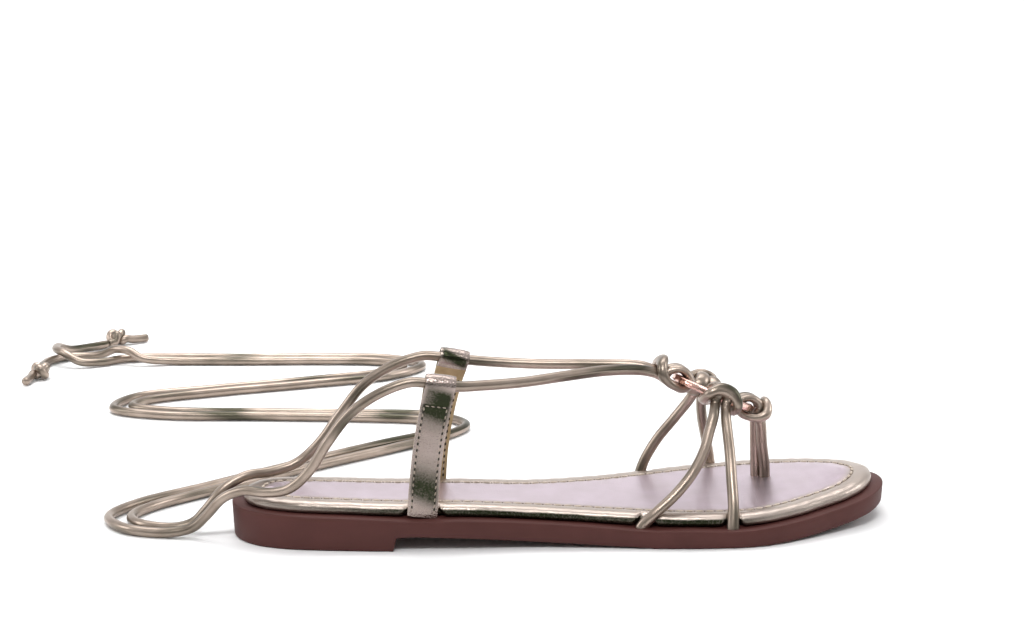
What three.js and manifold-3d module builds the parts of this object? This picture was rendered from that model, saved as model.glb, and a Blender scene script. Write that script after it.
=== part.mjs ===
import * as THREE from "three";
import { mergeVertices } from "three/addons/utils/BufferGeometryUtils.js";
import Module from "manifold-3d";

// Flat lace-up gladiator sandal for the right foot, in millimetres.
// x runs from the heel's back towards the toe, y towards the inner (medial) side, z up from the floor.
// The finished group is moved so that its origin is the middle of the heel's flat underside.

const wasm = await Module();
wasm.setup();

// Driving sizes
const SOLE_LENGTH = 258;
const BALL_WIDTH = 91.5;
const HEEL_HEIGHT = 13.4;
const HEEL_SEAT_X = 31;
const GAP = 0.3;

// Rubber sole
const EDGE_ROUND = 1.2;
const WALL_DRAFT = 0.5;
const RIM_ROUND = 0.5;
const BREAST_X = 61;
const BREAST_LEAN = 1.3;
const FLOOR_START_X = 160;
const RIM_DIP = 0.6;
const RIM_DIP_REACH = 14;
const FOOT_GAP = 0.65;

// Padded footbed
const LEDGE = 4.6;
const FOOTBED_THICK = 4.7;

// Cords, ring and side straps
const CORD_D = 4;
const CORD_R = CORD_D / 2;
const CORD_SIDES = 8;
const STRAP_STEP = 3.2;
const RING_OUTER_D = 34;
const RING_BAR_W = 3.6;
const RING_BAR_T = 2.2;
const RING_RISE = 49;
const RING_PITCH = 24.5;
const RING_ROLL = 6;
const RING_STEPS = 32;
const TAB_WIDTH = 11.6;
const TAB_THICK = 2.4;
const TAB_EYE_R = 2.8;
const TAB_LEATHER = 1.1;
const NOTCH_FLARE = 3;

// The straps' points are drawn for this length and width of sole and this height of ring, and follow them
const DRAWN = { length: 258, width: 91.5, rise: 49 };
const drawn = ([x, y, z]) => [
  (x * SOLE_LENGTH) / DRAWN.length,
  (y * BALL_WIDTH) / DRAWN.width,
  (z * RING_RISE) / DRAWN.rise,
];
const RING_CENTRE = drawn([191.5, 8, DRAWN.rise]);

// Plan of the sole: place along the length, and the two half widths as shares of the ball width
const OUTLINE = [
  { along: 0, lateral: -0.044, medial: 0.044 },
  { along: 0.01, lateral: 0.079, medial: 0.16 },
  { along: 0.02, lateral: 0.126, medial: 0.202 },
  { along: 0.04, lateral: 0.184, medial: 0.254 },
  { along: 0.08, lateral: 0.246, medial: 0.284 },
  { along: 0.16, lateral: 0.306, medial: 0.262 },
  { along: 0.245, lateral: 0.35, medial: 0.224 },
  { along: 0.35, lateral: 0.379, medial: 0.202 },
  { along: 0.45, lateral: 0.389, medial: 0.213 },
  { along: 0.55, lateral: 0.43, medial: 0.29 },
  { along: 0.64, lateral: 0.479, medial: 0.391 },
  { along: 0.72, lateral: 0.507, medial: 0.464 },
  { along: 0.785, lateral: 0.503, medial: 0.495 },
  { along: 0.85, lateral: 0.437, medial: 0.472 },
  { along: 0.9, lateral: 0.361, medial: 0.409 },
  { along: 0.94, lateral: 0.298, medial: 0.322 },
  { along: 0.968, lateral: 0.232, medial: 0.238 },
  { along: 0.988, lateral: 0.146, medial: 0.139 },
  { along: 1, lateral: 0.005, medial: -0.005 },
];

// Side view of the sole: heights of its top and of its underside ahead of the heel, as shares of heel height
const PROFILE = [
  { along: 0, top: 1.037, under: 0 },
  { along: 0.08, top: 1.022, under: 0 },
  { along: 0.16, top: 1, under: 0 },
  { along: 0.245, top: 0.963, under: 0.388 },
  { along: 0.33, top: 0.933, under: 0.366 },
  { along: 0.38, top: 0.881, under: 0.306 },
  { along: 0.45, top: 0.776, under: 0.194 },
  { along: 0.51, top: 0.702, under: 0.123 },
  { along: 0.57, top: 0.638, under: 0.056 },
  { along: 0.65, top: 0.582, under: 0 },
  { along: 0.765, top: 0.567, under: 0 },
  { along: 0.82, top: 0.593, under: 0.025 },
  { along: 0.86, top: 0.642, under: 0.075 },
  { along: 0.9, top: 0.716, under: 0.149 },
  { along: 0.94, top: 0.821, under: 0.254 },
  { along: 0.98, top: 0.94, under: 0.373 },
  { along: 1, top: 1.007, under: 0.448 },
];

// Where the side straps and cords go down between footbed and sole, as a share of the length
const STRAP_FEET = {
  tabLateral: { along: 0.2822, side: -1 },
  tabMedial: { along: 0.3062, side: 1 },
  lateralRear: { along: 0.6085, side: -1 },
  lateralFront: { along: 0.7422, side: -1 },
  medialRear: { along: 0.6376, side: 1 },
  medialFront: { along: 0.757, side: 1 },
};
for (const foot of Object.values(STRAP_FEET)) foot.x = foot.along * SOLE_LENGTH;

// Value of one column of a table at x, by a cubic through the rows' values, along a station coordinate
function tableValue(table, column, x, station) {
  const at = station(x / SOLE_LENGTH);
  const places = table.map((row) => station(row.along));
  let i = 0;
  while (i < places.length - 2 && at > places[i + 1]) i += 1;
  const slope = (j) => {
    const low = Math.max(j - 1, 0);
    const high = Math.min(j + 1, table.length - 1);
    return (table[high][column] - table[low][column]) / (places[high] - places[low]);
  };
  const span = places[i + 1] - places[i];
  const t = (at - places[i]) / span;
  const a = table[i][column];
  const b = table[i + 1][column];
  const rise = (2 * a - 2 * b + span * (slope(i) + slope(i + 1))) * t ** 3;
  const bend = (3 * b - 3 * a - span * (2 * slope(i) + slope(i + 1))) * t ** 2;
  return rise + bend + span * slope(i) * t + a;
}

// Round ends are even in angle, so the outline is read along an angle and not along x
const roundStation = (share) => Math.acos(1 - 2 * Math.min(Math.max(share, 0), 1));
const plainStation = (share) => share;

const edgeY = (x, side) =>
  side * BALL_WIDTH * tableValue(OUTLINE, side > 0 ? "medial" : "lateral", x, roundStation);
const soleTop = (x) => HEEL_HEIGHT * tableValue(PROFILE, "top", x, plainStation);
const toeUnder = (x) =>
  x < FLOOR_START_X ? 0 : Math.max(0, HEEL_HEIGHT * tableValue(PROFILE, "under", x, plainStation));

// The rim is pressed down a little under each strap
function rimDip(x, side) {
  const feet = Object.values(STRAP_FEET).filter((foot) => foot.side === side);
  const press = (foot) => Math.exp(-(((x - foot.x) / RIM_DIP_REACH) ** 2));
  return RIM_DIP * feet.reduce((sum, foot) => sum + press(foot), 0);
}

const ledgeTop = (x, side) => soleTop(x) - rimDip(x, side);

// Points of the outline moved inwards, with the same station on the lateral and the medial side
const STATIONS = 44;
function outlinePoint(index, side, inset) {
  const share = (n) => (1 - Math.cos((Math.PI * n) / STATIONS)) / 2;
  const x = SOLE_LENGTH * share(index);
  const tip = index === 0 || index === STATIONS;
  if (tip) {
    const inwards = index === 0 ? 1 : -1;
    return [x + inwards * inset, edgeY(x, 1)];
  }
  const step = 0.02;
  const near = (n) => [SOLE_LENGTH * share(n), edgeY(SOLE_LENGTH * share(n), side)];
  const [x0, y0] = near(index - step);
  const [x1, y1] = near(index + step);
  const long = Math.hypot(x1 - x0, y1 - y0);
  return [x + (side * (y1 - y0) * inset) / long, edgeY(x, side) - (side * (x1 - x0) * inset) / long];
}

// Closed solid from levels of the outline, each with an inset and a height function of x and side
function outlineSolid(levels) {
  const positions = [];
  const rows = levels.map(({ inset, height }) => {
    const sides = [-1, 1].map((side) => {
      const row = [];
      for (let i = 0; i <= STATIONS; i += 1) {
        const [x, y] = outlinePoint(i, side, inset);
        row.push(positions.length / 3);
        positions.push(x, y, height(x, side));
      }
      return row;
    });
    sides[1][0] = sides[0][0];
    sides[1][STATIONS] = sides[0][STATIONS];
    return sides;
  });
  const faces = [];
  const quad = (a, b, c, d) => faces.push([a, b, c], [a, c, d]);
  const last = rows.length - 1;
  for (let i = 0; i < STATIONS; i += 1) {
    for (let k = 0; k < last; k += 1) {
      const [low, high] = [rows[k], rows[k + 1]];
      quad(low[0][i], low[0][i + 1], high[0][i + 1], high[0][i]);
      quad(low[1][i + 1], low[1][i], high[1][i], high[1][i + 1]);
    }
    quad(rows[0][0][i + 1], rows[0][0][i], rows[0][1][i], rows[0][1][i + 1]);
    quad(rows[last][0][i], rows[last][0][i + 1], rows[last][1][i + 1], rows[last][1][i]);
  }
  const whole = faces.filter(([a, b, c]) => a !== b && b !== c && a !== c);
  const geometry = new THREE.BufferGeometry();
  geometry.setAttribute("position", new THREE.Float32BufferAttribute(positions, 3));
  geometry.setIndex(whole.flat());
  return geometry;
}

// Joining and cutting
function toSolid(geometry) {
  const bare = geometry.clone();
  bare.deleteAttribute("normal");
  bare.deleteAttribute("uv");
  const merged = mergeVertices(bare, 1e-4);
  return new wasm.Manifold(
    new wasm.Mesh({
      numProp: 3,
      vertProperties: new Float32Array(merged.attributes.position.array),
      triVerts: new Uint32Array(merged.index.array),
    }),
  );
}

function toGeometry(solid) {
  const mesh = solid.getMesh();
  const geometry = new THREE.BufferGeometry();
  geometry.setAttribute("position", new THREE.Float32BufferAttribute(mesh.vertProperties, 3));
  geometry.setIndex([...mesh.triVerts]);
  return geometry;
}

// Prism of a polygon of [x, z] points, running from one y to another
function prismAcross(points, fromY, toY) {
  const shape = new THREE.Shape(points.map(([x, z]) => new THREE.Vector2(x, z)));
  const geometry = new THREE.ExtrudeGeometry(shape, { depth: toY - fromY, bevelEnabled: false });
  geometry.rotateX(Math.PI / 2);
  geometry.translate(0, toY, 0);
  return geometry;
}

// Round cord through points
function cordThrough(points, stepLength = STRAP_STEP, radius = CORD_R) {
  const curve = new THREE.CatmullRomCurve3(points.map((p) => new THREE.Vector3(...p)), false, "centripetal");
  const rim = [];
  for (let i = 0; i < CORD_SIDES; i += 1) {
    const angle = (2 * Math.PI * i) / CORD_SIDES;
    rim.push(new THREE.Vector2(radius * Math.cos(angle), radius * Math.sin(angle)));
  }
  const steps = Math.round(curve.getLength() / stepLength);
  return new THREE.ExtrudeGeometry(new THREE.Shape(rim), { steps, bevelEnabled: false, extrudePath: curve });
}

// Rubber sole with its low heel in one moulding
function makeOutsole() {
  const full = outlineSolid([
    { inset: WALL_DRAFT + EDGE_ROUND, height: (x) => toeUnder(x) },
    { inset: WALL_DRAFT + 0.3 * EDGE_ROUND, height: (x) => toeUnder(x) + 0.3 * EDGE_ROUND },
    { inset: WALL_DRAFT, height: (x) => toeUnder(x) + EDGE_ROUND },
    { inset: 0, height: (x, side) => ledgeTop(x, side) - RIM_ROUND },
    { inset: RIM_ROUND, height: ledgeTop },
    { inset: LEDGE + 0.5, height: ledgeTop },
    { inset: 2 * LEDGE, height: (x) => soleTop(x) },
  ]);
  const waist = [
    [BREAST_X, -HEEL_HEIGHT],
    [BREAST_X, 0],
    [BREAST_X + BREAST_LEAN, HEEL_HEIGHT * PROFILE[3].under],
  ];
  const waistSteps = 16;
  const startX = BREAST_X + BREAST_LEAN;
  for (let i = 1; i <= waistSteps; i += 1) {
    const x = startX + ((FLOOR_START_X - startX) * i) / waistSteps;
    waist.push([x, HEEL_HEIGHT * tableValue(PROFILE, "under", x, plainStation)]);
  }
  waist.push([FLOOR_START_X, -HEEL_HEIGHT]);
  return toGeometry(toSolid(full).subtract(toSolid(prismAcross(waist, -BALL_WIDTH, BALL_WIDTH))));
}

// Wedge-shaped opening in the footbed's edge, wider at its foot, where a strap of this width goes down
function footNotch(foot, width, depth) {
  const low = soleTop(foot.x) - 1;
  const high = soleTop(foot.x) + GAP + FOOTBED_THICK + 2;
  const half = width / 2 + GAP;
  const edge = edgeY(foot.x, foot.side) - foot.side * LEDGE;
  const outside = edge + foot.side * LEDGE;
  const inside = edge - foot.side * depth;
  const wedge = [
    [foot.x - half - NOTCH_FLARE, low],
    [foot.x + half + NOTCH_FLARE, low],
    [foot.x + half, high],
    [foot.x - half, high],
  ];
  return toSolid(prismAcross(wedge, Math.min(inside, outside), Math.max(inside, outside)));
}

// Padded footbed: wrapped side band, domed rim, stitched channel and a slightly sunk middle
const CHANNEL_INSET = 7.6;
function makeFootbed() {
  const base = (x) => soleTop(x) + GAP;
  const level = (inset, height) => ({ inset: LEDGE + inset, height: (x) => base(x) + height });
  let solid = toSolid(
    outlineSolid([
      level(0.9, 0),
      level(0, 1.2),
      level(0.1, 2.6),
      level(1.1, 3.9),
      level(3.2, FOOTBED_THICK),
      level(5.4, FOOTBED_THICK - 0.2),
      level(CHANNEL_INSET, FOOTBED_THICK - 0.9),
      level(CHANNEL_INSET + 1.4, FOOTBED_THICK - 0.6),
    ]),
  );
  for (const [name, foot] of Object.entries(STRAP_FEET)) {
    const leg = LEGS[name];
    const depth = leg ? CORD_R + GAP : TAB_THICK - TAB_PROUD + GAP;
    solid = solid.subtract(footNotch(foot, leg ? CORD_D : TAB_WIDTH, depth));
    if (leg) solid = solid.subtract(toSolid(cordThrough(leg, STRAP_STEP, CORD_R + 1.3 * GAP)));
  }
  return toGeometry(solid.subtract(postSlot()));
}

// Long hole in the footbed for the two cords of the toe post
const POST_FEET = [drawn([209.9, 14.4, 0]), drawn([212.9, 11, 0])];
function postSlot() {
  const [a, b] = POST_FEET;
  const length = Math.hypot(b[0] - a[0], b[1] - a[1]);
  const radius = CORD_R + GAP;
  const shape = new THREE.Shape();
  shape.absarc(length / 2, 0, radius, -Math.PI / 2, Math.PI / 2, false);
  shape.absarc(-length / 2, 0, radius, Math.PI / 2, (3 * Math.PI) / 2, false);
  const slot = new THREE.ExtrudeGeometry(shape, { depth: 3 * FOOTBED_THICK, bevelEnabled: false, curveSegments: 8 });
  slot.rotateZ(Math.atan2(b[1] - a[1], b[0] - a[0]));
  slot.translate((a[0] + b[0]) / 2, (a[1] + b[1]) / 2, soleTop(a[0]) - FOOTBED_THICK);
  return toSolid(slot);
}

// Side strap: a band folded over at its top into an eye for the tie
const TAB_PROUD = 0.5;
const TABS = {
  lateral: { foot: STRAP_FEET.tabLateral, eye: drawn([80.7, -31, 65.5]) },
  medial: { foot: STRAP_FEET.tabMedial, eye: drawn([89.4, 17, 64.6]) },
};

function makeTab({ foot, eye }) {
  const footY = edgeY(foot.x, foot.side) - foot.side * (LEDGE - TAB_PROUD + TAB_THICK / 2);
  const footZ = ledgeTop(foot.x, foot.side) + FOOT_GAP;
  const axis = new THREE.Vector3(eye[0] - foot.x, eye[1] - footY, eye[2] - footZ);
  const rise = axis.length();
  const half = TAB_THICK / 2;
  const outer = TAB_EYE_R + TAB_LEATHER;
  const neck = Math.asin((1.5 * half) / outer);
  const shape = new THREE.Shape();
  shape.moveTo(-half, -TAB_THICK);
  shape.lineTo(half, -TAB_THICK);
  shape.lineTo(half, rise - 1.9 * outer);
  shape.absarc(0, rise, outer, -Math.PI / 2 + neck, (3 * Math.PI) / 2 - neck, false);
  shape.lineTo(-half, rise - 1.9 * outer);
  const hole = new THREE.Path();
  hole.absarc(0, rise, TAB_EYE_R, 0, 2 * Math.PI, true);
  shape.holes.push(hole);
  const band = new THREE.ExtrudeGeometry(shape, { depth: TAB_WIDTH, bevelEnabled: false, curveSegments: 14 });
  band.translate(0, 0, -TAB_WIDTH / 2);
  // the drawing's x, y and z become the strap's thickness, height and width
  const up = axis.clone().normalize();
  const width = new THREE.Vector3(0, 1, 0).cross(up).normalize();
  const thickness = up.clone().cross(width);
  band.applyMatrix4(new THREE.Matrix4().makeBasis(thickness, up, width));
  band.translate(foot.x, footY, footZ);
  // the foot is trimmed level with the sole's ledge
  const room = 4 * TAB_WIDTH;
  const below = new THREE.BoxGeometry(room, room, room);
  below.translate(foot.x, footY, footZ - room / 2);
  return toGeometry(toSolid(band).subtract(toSolid(below)));
}

// Metal ring that gathers the cords, a flattened bar bent round
const RING_R = RING_OUTER_D / 2 - RING_BAR_W / 2;
const pitch = THREE.MathUtils.degToRad(RING_PITCH);
const roll = THREE.MathUtils.degToRad(RING_ROLL);
const ringForward = new THREE.Vector3(Math.cos(pitch), 0, -Math.sin(pitch));
const ringUp = new THREE.Vector3(Math.sin(pitch), 0, Math.cos(pitch)).applyAxisAngle(ringForward, -roll);
const ringSide = new THREE.Vector3(0, 1, 0).applyAxisAngle(ringForward, -roll);

function makeRing() {
  const profile = [];
  const barSides = 10;
  for (let i = 0; i <= barSides; i += 1) {
    const angle = (2 * Math.PI * i) / barSides;
    const across = (RING_BAR_W / 2) * Math.cos(angle);
    const along = (RING_BAR_T / 2) * Math.sin(angle);
    profile.push(new THREE.Vector2(RING_R + across, along));
  }
  const ring = new THREE.LatheGeometry(profile, RING_STEPS);
  ring.rotateX(Math.PI / 2);
  ring.applyMatrix4(new THREE.Matrix4().makeBasis(ringForward, ringSide, ringUp));
  ring.translate(...RING_CENTRE);
  return ring;
}

// Point near the ring: along the bar, outwards from the bar and up from the ring's plane
function atRing(turn, along, outwards, up) {
  const angle = THREE.MathUtils.degToRad(turn);
  const radial = ringForward.clone().multiplyScalar(Math.cos(angle)).addScaledVector(ringSide, Math.sin(angle));
  const tangent = ringForward.clone().multiplyScalar(-Math.sin(angle)).addScaledVector(ringSide, Math.cos(angle));
  const point = new THREE.Vector3(...RING_CENTRE).addScaledVector(radial, RING_R + outwards);
  return point.addScaledVector(tangent, along).addScaledVector(ringUp, up).toArray();
}

// Half of a lark's head on the bar, with the cord pressed flat: thick is measured away from the bar and
// wide across it. WRAP goes over the bar, down inside the ring and back under the bar.
const WRAP = [
  { along: 2.25, outwards: 4.1, up: 1.7, thick: 2.8, wide: 4 },
  { along: 2.25, outwards: 1.1, up: 3.35, thick: 2.6, wide: 4.1 },
  { along: 2.5, outwards: -1.7, up: 2.95, thick: 2.6, wide: 4.3 },
  { along: 3.1, outwards: -4, up: 1, thick: 2.6, wide: 4.3 },
  { along: 3.9, outwards: -4.1, up: -1.1, thick: 2.6, wide: 4.3 },
  { along: 4.8, outwards: -2, up: -2.95, thick: 2.6, wide: 4.3 },
  { along: 5.7, outwards: 0.8, up: -3, thick: 2.6, wide: 4.1 },
];
// Where a leg comes to the bar from below, and the arch over the two legs up to its middle
const STEEP_HITCH = [
  { along: 2.2, outwards: 4.5, up: -1.7, thick: 3.6, wide: 3.7 },
  ...WRAP,
  { along: 6.4, outwards: 4, up: -2.2, thick: 2.8, wide: 3.6 },
  { along: 6.2, outwards: 6.8, up: -0.1, thick: 2.8, wide: 3.7 },
  { along: 4.6, outwards: 7.1, up: 2, thick: 2.7, wide: 4 },
  { along: 2.4, outwards: 6.6, up: 3.4, thick: 2.7, wide: 4.2 },
  { along: 0, outwards: 6.4, up: 3.8, thick: 2.7, wide: 4.3 },
];
// The same where the legs come level with the ring
const LEVEL_HITCH = [
  { along: 2.3, outwards: 6.6, up: -0.7, thick: 3.6, wide: 3.8 },
  ...WRAP,
  { along: 6.7, outwards: 4.4, up: -2.4, thick: 2.8, wide: 3.6 },
  { along: 6.9, outwards: 7.4, up: -0.9, thick: 2.8, wide: 3.7 },
  { along: 5.6, outwards: 8.8, up: 2, thick: 2.7, wide: 4 },
  { along: 2.8, outwards: 8.8, up: 3.5, thick: 2.7, wide: 4.2 },
  { along: 0, outwards: 8.6, up: 4, thick: 2.7, wide: 4.3 },
];

// Doubled cord hitched to the ring, with its two legs given from the ring outwards
function hitchedCord(turn, hitch, legAhead, legBack) {
  const bar = atRing(turn, 0, 0, 0);
  const half = (sign) =>
    hitch.map((row) => ({
      at: atRing(turn, sign * row.along, row.outwards, row.up),
      away: new THREE.Vector3(...atRing(turn, 0, row.outwards, row.up)).sub(new THREE.Vector3(...bar)),
      thick: row.thick,
      wide: row.wide,
    }));
  const ahead = half(1);
  const leg = (route) => route.map((at) => ({ at, away: ahead[0].away, thick: CORD_D, wide: CORD_D }));
  return [...leg([...legAhead].reverse()), ...ahead, ...half(-1).reverse().slice(1), ...leg(legBack)];
}

// Cord through rows of at, away, thick and wide, as an oval section carried along the curve
function squeezedCord(rows) {
  const curve = new THREE.CatmullRomCurve3(rows.map((row) => new THREE.Vector3(...row.at)), false, "centripetal");
  const places = [];
  rows.slice(1).forEach((row, i) => {
    const before = rows[i];
    const length = new THREE.Vector3(...row.at).distanceTo(new THREE.Vector3(...before.at));
    const steps = Math.max(1, Math.round(length / STRAP_STEP));
    const last = i === rows.length - 2 ? 1 : 0;
    for (let k = 0; k < steps + last; k += 1) {
      const share = k / steps;
      places.push({
        share: (i + share) / (rows.length - 1),
        away: before.away.clone().normalize().lerp(row.away.clone().normalize(), share),
        thick: THREE.MathUtils.lerp(before.thick, row.thick, share),
        wide: THREE.MathUtils.lerp(before.wide, row.wide, share),
      });
    }
  });
  const points = [];
  let side = new THREE.Vector3(0, 1, 0);
  for (const place of places) {
    const centre = curve.getPoint(place.share);
    const tangent = curve.getTangent(place.share);
    side = side.clone().addScaledVector(tangent, -side.dot(tangent)).normalize();
    const other = tangent.clone().cross(side);
    const thin = place.away.clone().addScaledVector(tangent, -place.away.dot(tangent)).normalize();
    const broad = tangent.clone().cross(thin);
    for (let k = 0; k < CORD_SIDES; k += 1) {
      const angle = (2 * Math.PI * k) / CORD_SIDES;
      const ray = side.clone().multiplyScalar(Math.cos(angle)).addScaledVector(other, Math.sin(angle));
      const reach = 1 / Math.hypot(ray.dot(thin) / (place.thick / 2), ray.dot(broad) / (place.wide / 2));
      points.push(...centre.clone().addScaledVector(ray, reach).toArray());
    }
  }
  const faces = [];
  const last = (places.length - 1) * CORD_SIDES;
  for (let k = 0; k < CORD_SIDES; k += 1) {
    const next = (k + 1) % CORD_SIDES;
    for (let ring = 0; ring < last; ring += CORD_SIDES) {
      const [a, b] = [ring + k, ring + next];
      faces.push([a, b, b + CORD_SIDES], [a, b + CORD_SIDES, a + CORD_SIDES]);
    }
    if (k > 0 && next > 0) faces.push([0, next, k], [last, last + k, last + next]);
  }
  const tube = new THREE.BufferGeometry();
  tube.setAttribute("position", new THREE.Float32BufferAttribute(points, 3));
  tube.setIndex(faces.flat());
  return toGeometry(toSolid(tube));
}

// End of a cord standing on the sole's ledge at a strap's foot
function cordFoot(foot) {
  const y = edgeY(foot.x, foot.side) - foot.side * LEDGE;
  const z = ledgeTop(foot.x, foot.side) + FOOT_GAP;
  return [
    [foot.x, y, z + 3],
    [foot.x, y, z],
  ];
}

// Routes of the cords' legs, from the ring to the footbed
const LATERAL_FRONT = [[193, -16, 44], [193, -20.5, 38.6], [192.9, -26.5, 32], [192.5, -32.8, 23.8], [192.2, -38.6, 15]];
const LATERAL_REAR = [
  [187.8, -16, 45.6], [184.8, -20, 40], [181.8, -24.5, 34], [176.3, -30.5, 27], [169.3, -35, 19.8], [161, -38, 12.8],
];
const MEDIAL_FRONT = [[190.5, 30.4, 41.2], [191, 33.6, 33.5], [192.8, 37.2, 24.5], [194.7, 39.6, 15.5]];
const MEDIAL_REAR = [[185.6, 29.6, 41.4], [181, 31.4, 33.5], [173.4, 31.8, 24.3], [166.6, 31.8, 14.8]];
const POST_LEFT = [[208.8, 10.3, 37.5], [209.3, 12.3, 27], [209.8, 14.2, 17]];
const POST_RIGHT = [[210.2, 6, 37.5], [211.4, 8.4, 27], [212.8, 10.9, 17]];
const ARM_LATERAL = [[163.5, 4.4, 59.7], [148, -3, 61.9], [130, -13, 62.7], [113, -21.4, 62.9], [97, -28, 63.8]];
const ARM_MEDIAL = [[163.5, 11.4, 59.9], [145, 13.6, 60.8], [124, 15.3, 61.3], [107, 16.6, 62.4]];

// The tie runs through a side strap's eye on a short straight line that slopes down towards the toe
const EYE_SLOPE = 0.15;
const throughEye = (tab, x) => [x, tab.eye[1], tab.eye[2] - EYE_SLOPE * (x - tab.eye[0])];
const EYE_REACH = 7;
const JOINT_BACK = 1;

const lateralArm = [
  ...ARM_LATERAL.map(drawn),
  throughEye(TABS.lateral, TABS.lateral.eye[0] + EYE_REACH),
  throughEye(TABS.lateral, TABS.lateral.eye[0] - JOINT_BACK),
];
const medialArm = [
  ...ARM_MEDIAL.map(drawn),
  throughEye(TABS.medial, TABS.medial.eye[0] + EYE_REACH),
  throughEye(TABS.medial, TABS.medial.eye[0] - JOINT_BACK),
];

const LEGS = {
  lateralFront: [...LATERAL_FRONT.map(drawn), ...cordFoot(STRAP_FEET.lateralFront)],
  lateralRear: [...LATERAL_REAR.map(drawn), ...cordFoot(STRAP_FEET.lateralRear)],
  medialFront: [...MEDIAL_FRONT.map(drawn), ...cordFoot(STRAP_FEET.medialFront)],
  medialRear: [...MEDIAL_REAR.map(drawn), ...cordFoot(STRAP_FEET.medialRear)],
};

const postLeg = (route, [x, y]) => {
  const z = soleTop(x) + 1.2 * GAP;
  return [...route.map(drawn), [x, y, z + 3], [x, y, z]];
};

const STRAP_CORDS = {
  cord_lateral: hitchedCord(-90, STEEP_HITCH, LEGS.lateralFront, LEGS.lateralRear),
  cord_medial: hitchedCord(90, STEEP_HITCH, LEGS.medialRear, LEGS.medialFront),
  toe_post: hitchedCord(0, STEEP_HITCH, postLeg(POST_LEFT, POST_FEET[0]), postLeg(POST_RIGHT, POST_FEET[1])),
  ankle_tie: hitchedCord(180, LEVEL_HITCH, lateralArm, medialArm),
};

// Free ends of the tie: from each eye down over the heel, then side by side on the floor in wide bends
const FLOOR_Z = CORD_R + GAP;
const OVER_Z = FLOOR_Z + CORD_D + 3 * GAP;
const DROP_LATERAL = [
  [69, -31.2, 66.8], [58, -31, 63.2], [46.5, -30, 55.5], [37.5, -28, 44], [30, -25.4, 32],
  [22, -21.5, 24.2], [13, -15.8, 21.6], [4.5, -10.2, 21.2], [-3.5, -5.6, 17.2], [-10.4, -2.4, 9.4],
  [-16, -0.2, 4.3],
];
const DROP_MEDIAL = [
  [77.5, 17.3, 66], [66.5, 17.8, 63], [54, 18.4, 55.5], [44, 18.8, 43.5], [35, 19, 31.5],
  [26, 18.4, 24], [15.5, 15.8, 21.5], [5.5, 12.4, 21.1], [-3.5, 9.6, 16.6], [-10.4, 8.4, 9.2],
  [-15.4, 8.6, 4.2],
];
// Middle line of the two ties on the floor, and the distance between them
const PAIR_ROUTE = [
  { x: -24, y: 5, spread: 8 },
  { x: -39, y: 12, spread: 8 },
  { x: -45, y: 27, spread: 9 },
  { x: -36, y: 43, spread: 8 },
  { x: -8, y: 66, spread: 7 },
  { x: 30, y: 96, spread: 8 },
  { x: 68, y: 124, spread: 9 },
  { x: 90, y: 140, spread: 8 },
  { x: 99, y: 156, spread: 9 },
  { x: 88, y: 171, spread: 9 },
  { x: 54, y: 181, spread: 7 },
  { x: 12, y: 190, spread: 7 },
  { x: -32, y: 200, spread: 8 },
  { x: -50, y: 213, spread: 9 },
  { x: -42, y: 229, spread: 9 },
  { x: -8, y: 240, spread: 7 },
  { x: 36, y: 250, spread: 7 },
  { x: 74, y: 261, spread: 8 },
  { x: 87, y: 277, spread: 9 },
  { x: 74, y: 291, spread: 8 },
  { x: 40, y: 299, spread: 7 },
  { x: 4, y: 304, spread: 7 },
  { x: -28, y: 310, spread: 8 },
];
const KNOT_LATERAL = [
  [-44, 306.4, FLOOR_Z + 1.8], [-50, 309.5, OVER_Z], [-57, 314.5, OVER_Z], [-63, 319.5, FLOOR_Z + 1.8],
  [-70, 323.5, FLOOR_Z], [-80, 324.2, FLOOR_Z], [-89, 316.5, FLOOR_Z], [-92.5, 305, FLOOR_Z], [-94, 294, FLOOR_Z],
];
const KNOT_MEDIAL = [
  [-42, 316.2, FLOOR_Z], [-54, 314.5, FLOOR_Z], [-64, 309, FLOOR_Z], [-74, 306.8, FLOOR_Z + 1], [-82, 311.5, OVER_Z],
  [-86, 319.5, OVER_Z], [-85.5, 328, OVER_Z - 0.6], [-80, 336, FLOOR_Z + 1], [-71, 344, FLOOR_Z], [-62, 350, FLOOR_Z],
];

// One tie of the pair, on the left (1) or the right (-1) of the middle line
function onFloor(side) {
  return PAIR_ROUTE.map(({ x, y, spread }, i) => {
    const before = PAIR_ROUTE[Math.max(i - 1, 0)];
    const after = PAIR_ROUTE[Math.min(i + 1, PAIR_ROUTE.length - 1)];
    const long = Math.hypot(after.x - before.x, after.y - before.y);
    const aside = (side * spread) / 2;
    return [x - ((after.y - before.y) * aside) / long, y + ((after.x - before.x) * aside) / long, FLOOR_Z];
  });
}
const eyeStart = (tab) => [-JOINT_BACK - GAP, -EYE_REACH].map((back) => throughEye(tab, tab.eye[0] + back));
const FREE_TIES = {
  tie_lateral: [...eyeStart(TABS.lateral), ...DROP_LATERAL.map(drawn), ...onFloor(1), ...KNOT_LATERAL],
  tie_medial: [...eyeStart(TABS.medial), ...DROP_MEDIAL.map(drawn), ...onFloor(-1), ...KNOT_MEDIAL],
};
const TIE_STEP = 12.5;

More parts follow.
